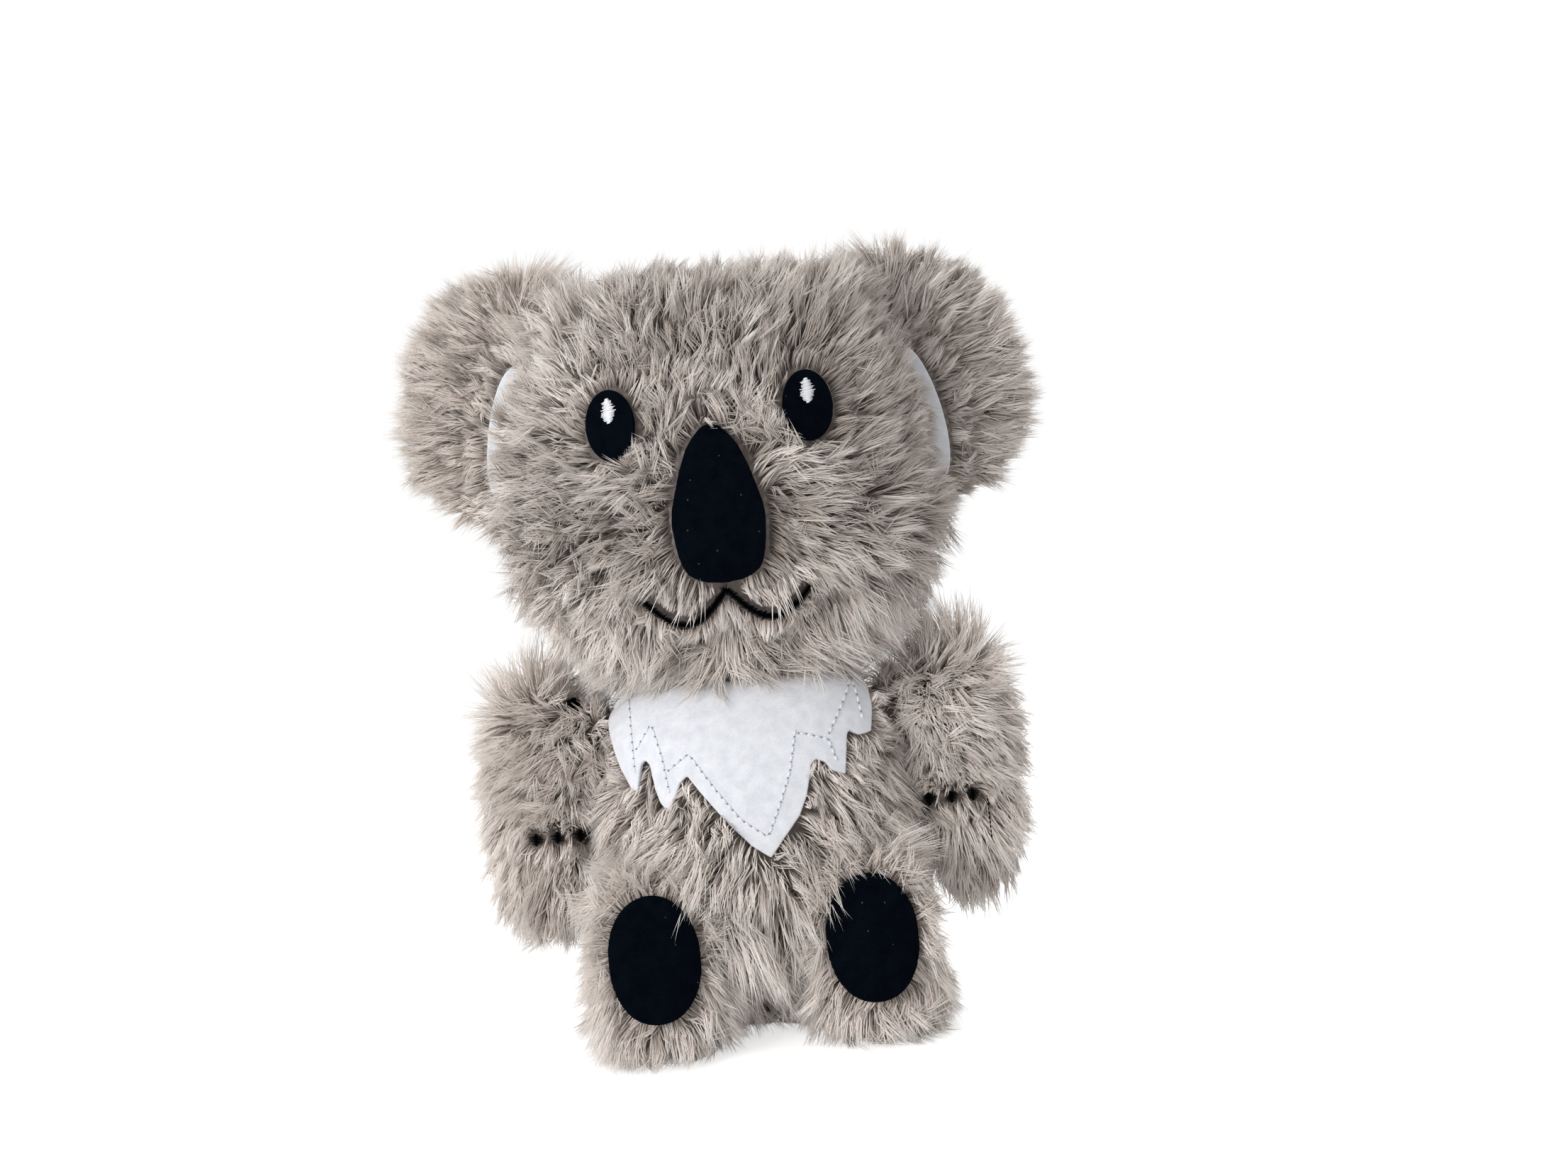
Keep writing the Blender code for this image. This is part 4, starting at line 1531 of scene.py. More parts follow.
@dataclass
class Head(Sewn):
    """The head: three panels of pile cloth over a full filling, with felt eyes and nose and a sewn mouth."""

    eye_spacing: float = 56.8 * MM
    eye_size: tuple[float, float] = (14.3 * MM, 20.8 * MM)
    eye_rise: float = 19.8 * MM
    eye_parting: float = 17 * MM
    light_size: tuple[float, float] = (4.2 * MM, 7.4 * MM)
    light_rise: float = 4.1 * MM
    nose_height: float = 44.7 * MM
    nose_drop: float = 5.5 * MM
    nose_half: float = 13 * MM
    # Down the nose, and its half width there, as shares of its height and of nose_half
    nose_halves: Pairs = (
        (0.0, 0.0), (0.012, 0.16), (0.037, 0.27), (0.092, 0.433), (0.156, 0.575), (0.294, 0.755),
        (0.404, 0.858), (0.541, 0.98), (0.633, 1.0), (0.725, 0.972), (0.816, 0.926), (0.89, 0.858),
        (0.936, 0.763), (0.972, 0.575), (0.991, 0.375), (1.0, 0.12),
    )
    mouth_half: float = 25 * MM
    mouth_depth: float = 9.2 * MM
    mouth_line: float = 2.6 * MM
    mouth_end_share: float = 0.94
    hairs: int = 54000
    comb: Comb = Comb(length=15.5 * MM)
    wander: Drift = Drift(0.42, 15 * MM, 1)
    dye: Drift = Drift(0.2, 22 * MM, 2)
    # Tousled places: across and up, how far they spread, and how tousled they are
    tufts: tuple[tuple[float, float, float, float], ...] = (
        (-6 * MM, 205 * MM, 20 * MM, 0.6),
        (-39 * MM, 150 * MM, 21 * MM, 1.0),
        (30 * MM, 158 * MM, 12 * MM, 0.4),
        (12 * MM, 190 * MM, 10 * MM, 0.3),
    )
    crown_half: float = 24 * MM
    behind: Ramp = Ramp(Y, -10, 25)
    toward_face: Ramp = Ramp(Y, 20, -5)
    low: Ramp = Ramp(Z, 160, 125)
    chin: Ramp = Ramp(Z, 155, 120)
    jaw: Ramp = Ramp(Z, 136, 120)
    under: Ramp = Ramp(Z, 128, 116)
    over_torso: Ramp = Ramp(Z, 117, 121)
    crown: Ramp = Ramp(Z, 214, 228)
    # Where the toy's left cheek is toned darker, as painted shade
    left_cheek: Ramp = Ramp(X, 10, 50)
    corners: tuple[Ramp, ...] = (Ramp(X, 26, 40, True), Ramp(Z, 210, 218))
    beside_ears: tuple[Ramp, ...] = (Ramp(X, 40, 47, True), Ramp(Z, 160, 168), Ramp(Z, 216, 208))
    beside_right_ear: Ramp = Ramp(Z, 188, 196)

    def __post_init__(self) -> None:
        """Works out the panels and the outlines of the face."""
        self.body = "head"
        self.panels = [
            Panel("face_left", ((X, 1, 0), (Y, -1, FACE_SEAM))),
            Panel("face_right", ((X, -1, 0), (Y, -1, FACE_SEAM))),
            Panel("head_back", ((Y, 1, FACE_SEAM),)),
        ]
        z = HEAD.middle[2]
        self.eyes = {
            side: oval(*self.eye_size, side.value * self.eye_spacing / 2, z + self.eye_rise) for side in Side
        }
        top = z - self.nose_drop + self.nose_height / 2
        down, half = np.array(self.nose_halves).T
        right = np.column_stack((half * self.nose_half, top - down * self.nose_height))
        self.nose = Outline(np.vstack((right, (right * (-1, 1))[:0:-1])))
        foot = top - self.nose_height - self.mouth_line / 2 - FELT_LIFT
        share = np.linspace(-1, 1, 61) * self.mouth_end_share
        dip = -self.mouth_depth * np.sin(math.pi * np.abs(share))
        self.mouth = np.column_stack((self.mouth_half * share, foot + dip))
        self.line = band(self.mouth, self.mouth_line / 2)

    def off(self, *outlines: Outline) -> Field:
        """What gives how far places on the face lie outside some outlines; far behind the face."""
        return lambda points: np.where(points[:, 1] < -5 * MM, nearest(points, outlines), FAR)

    def bare(self, points: Array) -> Array:
        """How far places lie from felt and thread."""
        return self.off(*self.eyes.values(), self.nose, self.line)(points)

    def flow(self, points: Array) -> Array:
        """The pile lies away from the nose and the eyes, and down at the back and under the chin.

        Args:
            points: the places, one a row.

        Returns:
            A direction for each place.
        """
        lie = unit(points - np.array([0, HEAD.middle[1] - HEAD.front, HEAD.middle[2] - 6 * MM]))
        for outline in self.eyes.values():
            x, z = outline.points.mean(axis=0)
            away = points - np.array([x, HEAD.front_at(np.array([x]), np.array([z]))[0], z])
            lie += unit(away) * np.exp(-(away**2).sum(axis=1) / self.eye_parting**2)[:, None]
        lie[:, 2] -= 1.1 * self.behind.at(points) + 1.1 * self.low.at(points)
        under = self.under.at(points)[:, None]
        return lie * (1 - under) + unit(points * (1, 1, 0)) * under + self.wander.at(points)

    def tousled(self, points: Array) -> Array:
        """How much the pile stands on end: on the forehead and on the toy's right cheek.

        Args:
            points: the places, one a row.

        Returns:
            How much at each place, from 0 to 1.
        """
        total = np.zeros(len(points))
        for x, z, radius, strength in self.tufts:
            away = (points[:, 0] - x) ** 2 + (points[:, 2] - z) ** 2
            total = np.maximum(total, strength * np.exp(-away / radius**2))
        return np.where(points[:, 1] < 0, total, 0)

    def build(self) -> None:
        """Makes every piece of the head."""
        whole = unit_ball(144, 80)
        ball = points_of(whole)
        set_points(whole, HEAD.skin(ball, seat(self.bare(HEAD.skin(ball)), 0.5 * MM, 7 * MM)))
        carved(whole, neck_hollow(GAP))
        self.back(whole)
        core = unit_ball(32, 20)
        set_points(core, HEAD.skin(points_of(core), FILLING_INSET))
        carved(core, neck_hollow(2 * CLOTH_THICKNESS))
        self.fill(core, "head_filling", "head_stuffing")
        self.pile(whole)
        bpy.data.objects.remove(whole)
        self.face()

    def open_cloth(self, points: Array) -> Array:
        """No hairs under felt and in the neck, and fewer at the back and where the torso hides them."""
        seen = (0.55 + 0.45 * self.over_torso.at(points)) * (0.62 + 0.38 * self.toward_face.at(points))
        return (self.bare(points) > 0.6 * MM) * off_neck(points) * seen

    def styled(self, roots: Array) -> Style:
        """Short round felt and thread, tousled in places, and longer towards the chin, where painted light
        makes it paler.

        Args:
            roots: places of the hairs' roots.

        Returns:
            The style.
        """
        near, line = self.bare(roots), self.off(self.line)(roots)
        across = roots[:, 0]
        # Painted shade: the head's pile is toned darker than the body's, though it is the same fur
        style = Style(roots, 0.47, self.dye)
        style.ruffle = self.tousled(roots)
        beside = zone(roots, *self.beside_ears) * np.where(across > 0, 1.0, self.beside_right_ear.at(roots))
        crown = np.exp(-((across / self.crown_half) ** 2)) * self.crown.at(roots)
        # Painted shade: tousled places are toned darker, as shade among the raised hairs
        style.change(style.ruffle, length=-0.34, rise=0.45, tone=-0.16)
        style.change(beside, length=-0.3, rise=-0.35)
        # Painted light: the chin is toned paler
        style.change(self.chin.at(roots), length=0.15, tone=0.5)
        style.change(zone(roots, *self.corners), length=0.3, rise=0.3)
        style.change(crown, length=-0.25)
        style.change(self.jaw.at(roots), length=0.25, rise=0.3)
        # Painted shade: the toy's left cheek is toned darker
        style.change(self.left_cheek.at(roots), tone=-0.2)
        style.change(smoothstep(near, 7 * MM, 0), length=-0.5)
        style.change(smoothstep(near, 5 * MM, 0), rise=-0.25)
        style.change(smoothstep(line, 5 * MM, 0.5 * MM), length=-0.4)
        style.change(smoothstep(line, 6 * MM, 1 * MM), rise=-0.4)
        return style

    def pile(self, whole: Object) -> None:
        """The coat: combed as one, trimmed round the face, and split at the seams.

        Args:
            whole: the whole cloth.
        """
        rng = np.random.default_rng(SEED)
        roots, normals = rooted(whole, self.hairs, rng, self.open_cloth)
        hairs = combed(roots, normals, self.flow, self.comb, rng, self.styled(roots))
        hairs = hairs.trimmed(self.off(self.nose), 1.8 * MM, rng.random(len(roots)) < 0.008)
        hairs = hairs.trimmed(self.off(*self.eyes.values()), 1.1 * MM)
        hairs = hairs.trimmed(self.off(self.line), 0.3 * MM, rng.random(len(hairs.root)) < 0.025)
        for panel in self.panels:
            self.coat(hairs.kept(panel.holds(hairs.root)), panel.name, f"{panel.name}_panel")

    def face(self) -> None:
        """Nose, eyes and mouth."""
        self.lay_felt(self.nose, HEAD, 0.5 * MM, "nose", BLACK_FELT)
        satin = Satin(pitch=0.34 * MM, slant=0.12 * MM)
        for side, outline in self.eyes.items():
            name = f"{side.word}_eye"
            self.lay_felt(outline, HEAD, 0.45 * MM, name, BLACK_FELT)
            x, z = outline.points.mean(axis=0)
            ends = satin.patch(oval(*self.light_size, x, z + self.light_rise))
            stitches = satin.laid(ends, HEAD, FELT_LIFT + FELT_THICKNESS + 0.15 * MM)
            self.dress(stitches, f"{name}_light", WHITE_THREAD, f"{name}_highlight")
        satin = Satin(pitch=0.33 * MM)
        mouth = satin.laid(satin.row(self.mouth, self.mouth_line), HEAD, 1.8 * MM)
        self.dress(mouth, "mouth_stitches", BLACK_THREAD, "mouth_embroidery")


@dataclass
class Ear(Sewn):
    """An ear: two panels of pile cloth over a thin filling, with white felt inside."""

    side: Side
    base: float = 1 * MM
    felt_size: tuple[float, float] = (11.6 * MM, 43 * MM)
    felt_centre: tuple[float, float] = (7.3 * MM, -7 * MM)
    sewn_higher: float = -3 * MM
    hairs: tuple[int, int] = (10000, 6000)
    comb: Comb = Comb(length=13 * MM, root_rise=math.radians(38), tip_rise=math.radians(8), sway=0.2)
    wander: Drift = Drift(0.22, 14 * MM, 3)
    dye: Drift = Drift(0.15, 20 * MM, 4)
    cloth: Form = replace(EAR, side=30.5 * MM, front=3.5 * MM, back=3.5 * MM, up=35.5 * MM, down=35.5 * MM)
    core: Form = replace(EAR, side=28.5 * MM, front=2 * MM, back=2 * MM, up=33.5 * MM, down=33.5 * MM)
    head_side: tuple[Ramp, ...] = (Ramp(X, 18, 2), Ramp(Z, 24, 34))
    inner_top: tuple[Ramp, ...] = (Ramp(X, 16, 0), Ramp(Z, 24, 34))

    def __post_init__(self) -> None:
        """Works out the ear's place, its panels and the felt's outline."""
        self.body = f"{self.side.word}_ear"
        self.number = 10 + self.side.value
        higher = Matrix.Translation((0, 0, self.side.value * self.sewn_higher))
        self.place = higher @ self.side.place(EAR_FRAME)
        self.panels = halves(self.body, ("front", "back"), self.hairs, (Y, 0), (X, 1, self.base))
        self.felt = oval(*self.felt_size, *self.felt_centre)

    def near(self, points: Array) -> Array:
        """How far places on the front are from the felt; far at the back."""
        return np.where(points[:, 1] < 0, nearest(points, [self.felt]), FAR)

    def flow(self, points: Array) -> Array:
        """The pile lies outward from the root of the ear, and towards the head at its top.

        Args:
            points: the places, one a row.

        Returns:
            A direction for each place.
        """
        lie = unit(points - np.array([-16 * MM, 0, -4 * MM]))
        lie[:, 0] -= 1.3 * zone(points, *self.head_side)
        lie[:, 1] *= 0.2
        return lie + self.wander.at(points)

    def build(self) -> None:
        """Makes every piece of the ear."""
        whole = unit_ball(72, 40)
        points = self.cloth.skin(points_of(whole))
        raised = smoothstep(nearest(points, [self.felt]), 6 * MM, 0) * (points[:, 1] < 0)
        face = np.minimum(EAR.front_at(points[:, 0], points[:, 2]), points[:, 1])
        points[:, 1] += raised * (face - points[:, 1])
        set_points(whole, points)
        self.back(whole)
        core = unit_ball(32, 16)
        set_points(core, self.core.skin(points_of(core)))
        edit_all(cut(core, X, 1, self.base + CLOTH_THICKNESS))
        bpy.ops.mesh.select_all(action="DESELECT")
        bpy.ops.mesh.select_non_manifold()
        bpy.ops.mesh.fill()
        deselect()
        self.fill(core, f"{self.body}_fibre", f"{self.body}_filling", 0.7)
        self.grow(whole)
        self.lay_felt(self.felt, EAR, 0.55 * MM, f"{self.side.word}_inner_ear", WHITE_FELT)

    def open_cloth(self, points: Array) -> Array:
        """None under the felt, and more towards the rim.

        Args:
            points: the places, one a row.

        Returns:
            A weight for each place.
        """
        across, _, up = (points - EAR.middle).T
        rim = np.hypot(across / self.cloth.side, up / self.cloth.up)
        return (self.near(points) > 0.8 * MM) * (0.7 + 0.6 * smoothstep(rim, 0.7, 1))

    def styled(self, roots: Array) -> Style:
        """Short round the felt, longer at the top beside the head; painted light and shade make the right ear
        paler.

        Args:
            roots: places of the hairs' roots.

        Returns:
            The style.
        """
        # Painted light and shade: the toy's right ear is toned paler, as lit, and its left darker
        style = Style(roots, 0.68 - 0.27 * self.side.value, self.dye)
        style.change(smoothstep(self.near(roots), 8 * MM, 0), length=-0.45)
        style.change(zone(roots, *self.inner_top), length=0.4, rise=0.3)
        return style

    def trim(self, hairs: Hairs, panel: Panel, rng: Chance) -> Hairs:
        """Keeps the front's hairs off the felt."""
        front = panel is self.panels[0]
        return hairs.trimmed(lambda at: nearest(at, [self.felt]), 0.5 * MM) if front else hairs


@dataclass
class Torso(Sewn):
    """The torso: a front and a back panel over a full filling, with the bib."""

    sole_cover: float = 8 * MM
    flat_side: float = 40.2 * MM
    arm_root: float = 13 * MM
    # The bib's outline and its runs of stitches, across and up in millimetres
    bib_mm: Pairs = (
        (-38.0, 105.0), (-41.6, 101.0), (-41.2, 96.0), (-40.0, 92.0), (-37.2, 84.0), (-33.8, 77.4),
        (-32.2, 77.5), (-30.7, 84.6), (-29.4, 86.2), (-28.0, 84.7), (-26.9, 77.5), (-25.7, 73.7),
        (-23.4, 70.7), (-20.9, 75.6), (-19.5, 79.0), (-17.3, 80.9), (-13.7, 75.7), (-6.8, 66.6),
        (-0.4, 59.5), (4.6, 55.8), (8.6, 60.6), (13.7, 66.5), (16.4, 72.0), (17.8, 77.3),
        (18.5, 80.4), (20.1, 81.8), (22.5, 80.7), (24.5, 77.9), (28.1, 76.3), (29.0, 82.1),
        (29.8, 87.6), (30.8, 88.3), (33.6, 86.6), (37.0, 87.0), (38.3, 93.7), (38.0, 99.0),
        (35.0, 105.0),
    )
    stitch_mm: tuple[Pairs, ...] = (
        ((-35.0, 104.0), (-33.3, 98.9), (-32.7, 91.0), (-32.4, 82.3)),
        ((-31.6, 89.0), (-26.7, 95.8), (-24.1, 86.6), (-22.6, 76.0)),
        (
            (-22.6, 82.6), (-16.3, 87.0), (-9.5, 76.4), (-3.1, 67.4), (4.2, 61.6), (8.6, 70.6), (12.2, 79.2),
            (15.0, 90.6),
        ),
        ((15.6, 89.4), (17.9, 89.0), (24.0, 86.8), (25.9, 80.2)),
        ((24.4, 88.2), (31.2, 98.5), (33.3, 103.0), (34.7, 90.6)),
    )
    stitch_pitch: float = 2.3 * MM
    # Each dash's word, where it starts and ends as shares of the pitch, and its thread
    dashes: tuple[tuple[str, float, float, Finish], ...] = (
        ("top", 0.22, 0.92, WHITE_THREAD),
        ("under", -0.05, 0.19, GREY_THREAD),
    )
    bib_tuck: float = 7 * MM
    bib_top: Ramp = Ramp(Z, 98, 103)
    belly_middle: float = 50 * MM
    belly_half: tuple[float, float] = (32 * MM, 20 * MM)
    hairs: tuple[int, int] = (17000, 11000)
    comb: Comb = Comb(length=15.5 * MM)
    wander: Drift = Drift(0.25, 20 * MM, 5)
    dye: Drift = Drift(0.12, 25 * MM, 6)
    collar: Ramp = Ramp(Z, 94, 101)
    shoulders: Ramp = Ramp(Z, 92, 101)

    def __post_init__(self) -> None:
        """Works out the form, the panels and the bib's outline."""
        self.body = "torso"
        self.number = 20
        self.form = replace(TORSO, foot_power=3.0)
        self.panels = halves(self.body, ("front", "back"), self.hairs, (Y, SIDE_SEAM))
        self.bib = Outline(np.array(self.bib_mm) * MM)

    def near(self, points: Array) -> Array:
        """How far places in front are from the bib, whose top edge the pile may cover; far at the back."""
        near = nearest(points, [self.bib]) + self.bib_tuck * self.bib_top.at(points)
        return np.where(points[:, 1] < 0, near, FAR)

    def off_soles(self, points: Array) -> Array:
        """How far places near the soles are from them; the belly's pile may lie some way over their faces.

        Args:
            points: the places, one a row.

        Returns:
            The distance of each place.
        """
        x, y, z = LEG_FRAME.translation
        away = Leg(Side.LEFT).sole.distance(np.abs(points[:, 0]) - x, points[:, 2] - z)
        face = y + LEG.middle[1] - LEG.front - FELT_LIFT - FELT_THICKNESS
        return np.where(points[:, 1] < -50 * MM, away + self.sole_cover * (points[:, 1] < face), FAR)

    def belly(self, points: Array) -> Array:
        """How much a place belongs to the full front of the belly.

        Args:
            points: the places, one a row.

        Returns:
            How much of each place, from 0 to 1.
        """
        across = points[:, 0] / self.belly_half[0]
        up = (points[:, 2] - self.belly_middle) / self.belly_half[1]
        return np.exp(-((across**2 + up**2) ** 2)) * (points[:, 1] < 0)

    def flow(self, points: Array) -> Array:
        """The pile lies down and outward over the belly, and away from the neck on top.

        Args:
            points: the places, one a row.

        Returns:
            A direction for each place.
        """
        lie = unit(points - np.array([0, 0, 92 * MM]))
        lie[:, 2] -= 0.45
        top = self.collar.at(points)[:, None]
        return lie * (1 - top) + unit(points - NECK_CENTRE) * top + self.wander.at(points)

    def skin(self, ball: Array, inset: Array | float, side: float) -> Array:
        """The form's points, with its sides pressed flat by the arms.

        Args:
            ball: points at distance 1 from the origin.
            inset: how far under the outside they lie.
            side: half the width to which it is pressed.

        Returns:
            The points on the form.
        """
        skin = self.form.skin(ball, inset)
        skin[:, 0] = np.clip(skin[:, 0], -side, side)
        return skin

    def build(self) -> None:
        """Makes every piece of the torso."""
        whole = unit_ball(128, 72)
        ball = points_of(whole)
        rough = self.form.skin(ball)
        inset = seat(self.near(rough), -1 * MM, 6 * MM) * (1 - 0.75 * self.belly(rough))
        set_points(whole, self.skin(ball, inset, self.flat_side))
        carved(whole, neck_hollow(GAP))
        carved(whole, hip_hollows(GAP))
        self.back(whole)
        core = unit_ball(40, 24)
        cloth = 2 * CLOTH_THICKNESS
        set_points(core, self.skin(points_of(core), FILLING_INSET, self.flat_side - cloth))
        carved(core, neck_hollow(cloth))
        carved(core, hip_hollows(cloth))
        self.fill(core, "torso_filling", "torso_stuffing")
        self.grow(whole)
        self.chest()

    def open_cloth(self, points: Array) -> Array:
        """Neither in a pocket, nor under the bib, nor at the root of an arm.

        Args:
            points: the places, one a row.

        Returns:
            A weight for each place.
        """
        out = off_neck(points) & (self.near(points) > -0.6 * MM)
        for hip in HIPS:
            out &= (((points - np.array(hip)) / (np.array(HIP_RADII) + 1 * MM)) ** 2).sum(axis=1) > 1
        away = points[:, 1:] - np.array(ARM_FRAME.translation)[1:]
        off_flat = np.abs(points[:, 0]) < self.flat_side - 0.5 * MM
        return out & ((np.hypot(*away.T) > self.arm_root) | off_flat)

    def styled(self, roots: Array) -> Style:
        """Short round the bib, and longer and steeper on the belly and on top.

        Args:
            roots: places of the hairs' roots.

        Returns:
            The style.
        """
        # Painted light: the torso's pile is toned paler than the head's, though it is the same fur
        style = Style(roots, 1.12, self.dye)
        style.change(smoothstep(self.near(roots), 9 * MM, 0), length=-0.5)
        style.change(self.belly(roots), length=0.4, rise=0.34)
        style.change(self.shoulders.at(roots), length=0.3, rise=0.6)
        return style

    def trim(self, hairs: Hairs, panel: Panel, rng: Chance) -> Hairs:
        """Keeps the hairs off the bib and, but for some way, off the soles."""
        return hairs.trimmed(self.near, 1.2 * MM).trimmed(self.off_soles, 0.8 * MM)

    def chest(self) -> None:
        """The bib and its line of stitches: white thread on top, and grey, as painted shade, where it goes
        under.
        """
        self.dress(felt(self.bib, TORSO, 0.55 * MM), "bib_patch", WHITE_FELT, "chest_bib")
        paths = [resampled(np.array(run) * MM, self.stitch_pitch) for run in self.stitch_mm]
        first = np.vstack([path[:-1] for path in paths])
        step = np.vstack([np.diff(path, axis=0) for path in paths])
        thread = Satin(radius=0.34 * MM)
        for word, start, end, finish in self.dashes:
            ends = np.hstack((first + step * start, first + step * end))
            stitches = thread.laid(ends, TORSO, FELT_LIFT + FELT_THICKNESS + 0.12 * MM)
            self.dress(stitches, f"bib_{word}_stitches", finish, "chest_bib")


@dataclass
class CareLabel(Sewn):
    """The care label: a folded satin tape, bare, sewn in at the toy's left side seam."""

    length: float = 16 * MM
    height: float = 15 * MM
    ply: float = 0.3 * MM
    fold: float = 0.4 * MM
    wave: float = 0.5 * MM
    waves: float = 2.2
    seat: Triple = (44.3 * MM, SIDE_SEAM, 31 * MM)
    turn: float = math.radians(40)

    def build(self) -> None:
        """Makes the label."""
        self.body = "torso"
        deselect()
        bpy.ops.mesh.primitive_grid_add(x_subdivisions=64, y_subdivisions=12, size=1)
        tape = bpy.context.active_object
        flat = points_of(tape)
        run = (flat[:, 0] + 0.5) * 2 * self.length
        straight = self.length - self.fold * math.pi / 2
        turn = np.clip((run - straight) / self.fold, 0, math.pi)
        back = run > straight + self.fold * math.pi
        x = np.where(back, 2 * straight + self.fold * math.pi - run, np.minimum(run, straight))
        x += self.fold * np.sin(turn)
        y = self.fold * np.cos(turn) + self.wave * np.sin(x / self.length * self.waves) * (1 + flat[:, 1])
        thickened(set_points(tape, np.column_stack((x, y, flat[:, 1] * self.height))), self.ply, 0)
        place = TO_FLOOR @ (Matrix.Translation(self.seat) @ Matrix.Rotation(self.turn, 4, "Z"))
        self.dress(tape, "label_tape", TAPE, "care_label", place=place)


@dataclass
class Neck(Sewn):
    """The neck: a stuffed ball under the head, with a collar of pile."""

    hairs: int = 6000
    collar_middle: float = 109 * MM
    collar_half: float = 8 * MM
    comb: Comb = Comb(length=21 * MM, root_rise=math.radians(72), tip_rise=math.radians(50))
    wander: Drift = Drift(0.3, 15 * MM, 12)
    dye: Drift = Drift(0.15, 20 * MM, 11)

    def build(self) -> None:
        """Makes the neck."""
        self.body = "neck"
        ball = egg(NECK_CENTRE, [NECK_RADIUS] * 3, 48, 28)
        rng = np.random.default_rng(SEED + 50)
        roots, normals = rooted(ball, self.hairs, rng, self.open_cloth)
        hairs = combed(roots, normals, self.flow, self.comb, rng, Style(roots, 0.85, self.dye))
        self.coat(hairs, "neck", "neck_stuffing")
        self.fill(ball, "neck_ball", "neck_stuffing", 0.9)

    def open_cloth(self, points: Array) -> Array:
        """A band round the ball, between the torso and the head."""
        return (np.abs(points[:, 2] - self.collar_middle) < self.collar_half).astype(float)

    def flow(self, points: Array) -> Array:
        """The pile lies down round the neck."""
        return np.array([0, 0, -1.0]) + self.wander.at(points)


@dataclass
class Arm(Sewn):
    """An arm: two panels of pile cloth over a filling, with stitched claws."""

    side: Side
    claw_size: tuple[float, float] = (4.6 * MM, 3.6 * MM)
    claw_spacing: float = 6.5 * MM
    claw_shift: float = -4.3 * MM
    claw_drop: float = 11.5 * MM
    tack_size: tuple[float, float] = (4.4 * MM, 3.4 * MM)
    tack_place: tuple[float, float] = (-11 * MM, 30 * MM)
    seam_place: tuple[float, float] = (6.5 * MM, -19 * MM)
    seam_half: float = 7.5 * MM
    seam_stitches: int = 12
    thread_lift: float = 0.6 * MM
    root_radius: float = 11 * MM
    root_ends: tuple[float, float] = (-3.6 * MM, 18 * MM)
    hairs: tuple[int, int] = (8000, 5000)
    comb: Comb = Comb(length=15 * MM)
    wander: Drift = Drift(0.22, 16 * MM, 7)
    dye: Drift = Drift(0.12, 20 * MM, 8)
    top: Ramp = Ramp(Z, 8, 20)
    shoulder: Ramp = Ramp(Z, 4, 18)
    inner: Ramp = Ramp(X, 16, 2)

    def __post_init__(self) -> None:
        """Works out the arm's place, its panels and the thread's outlines."""
        self.body = f"{self.side.word}_arm"
        self.number = 30 + self.side.value
        self.place = self.side.place(ARM_FRAME)
        self.panels = halves(self.body, ("front", "back"), self.hairs, (Y, 0))
        x, _, z = ARM.middle
        self.claws = [
            oval(*self.claw_size, x + self.claw_shift + step * self.claw_spacing, z - self.claw_drop)
            for step in (-1, 0, 1)
        ]
        self.tack = oval(*self.tack_size, x + self.tack_place[0], z + self.tack_place[1])
        self.bare = [*self.claws] + ([self.tack] if self.side is Side.RIGHT else [])

    def flow(self, points: Array) -> Array:
        """The pile lies down the arm and a little outward, and up at its top.

        Args:
            points: the places, one a row.

        Returns:
            A direction for each place.
        """
        lie = np.array([0.25, 0.0, -1.0]) + 0.5 * unit(points - np.array([12 * MM, 0, -20 * MM]))
        top = self.top.at(points)[:, None]
        return lie * (1 - top) + np.array([-0.5, 0.0, 1.0]) * top + self.wander.at(points)

    def near(self, points: Array) -> Array:
        """How far places are from thread on the front of the arm."""
        return np.where(points[:, 1] < 0, nearest(points, self.bare), FAR)

    def build(self) -> None:
        """Makes every piece of the arm."""
        lobe = unit_ball(56, 40)
        ball = points_of(lobe)
        set_points(lobe, ARM.skin(ball, seat(self.near(ARM.skin(ball)), 0.3 * MM, 5 * MM)))
        whole = merged([lobe, self.root(0.0)], 1.6 * MM, 4)
        self.back(whole)
        core = unit_ball(28, 20)
        set_points(core, ARM.skin(points_of(core), FILLING_INSET))
        core = merged([core, self.root(2 * CLOTH_THICKNESS)], 2.5 * MM, 4)
        self.fill(core, f"{self.body}_filling", f"{self.body}_stuffing")
        self.grow(whole)
        self.thread()

    def root(self, inset: float) -> Object:
        """The short round root that is sewn to the torso.

        Args:
            inset: how much smaller it is all over.

        Returns:
            The root.
        """
        start, end = self.root_ends[0] + inset, self.root_ends[1]
        deselect()
        bpy.ops.mesh.primitive_cylinder_add(
            vertices=32,
            radius=self.root_radius - inset,
            depth=end - start,
            location=((start + end) / 2, 0, 0),
            rotation=(0, math.pi / 2, 0),
        )
        bpy.ops.object.transform_apply(location=True, rotation=True)
        return bpy.context.active_object

    def open_cloth(self, points: Array) -> Array:
        """Off the thread and off the root's end."""
        return (self.near(points) > 0.5 * MM) & (points[:, 0] > -1 * MM)

    def styled(self, roots: Array) -> Style:
        """Short round the thread and beside the torso, and longer and steeper on the shoulder.

        Args:
            roots: places of the hairs' roots.

        Returns:
            The style.
        """
        # Painted light: the arms' pile is toned paler than the head's, the same fur, and the toy's right arm
        # paler than its left
        style = Style(roots, 1.1 - 0.08 * self.side.value, self.dye)
        style.change(smoothstep(self.near(roots), 8 * MM, 0), length=-0.55)
        style.change(self.inner.at(roots), length=-0.4)
        style.change(self.shoulder.at(roots), length=0.35, rise=0.6)
        return style

    def trim(self, hairs: Hairs, panel: Panel, rng: Chance) -> Hairs:
        """Keeps the hairs off the thread, but for some, most of them at the shoulder."""
        spared = rng.random(len(hairs.root)) < np.where(hairs.root[:, 2] > 0, 0.6, 0.12)
        return hairs.trimmed(self.near, 0.3 * MM, spared)

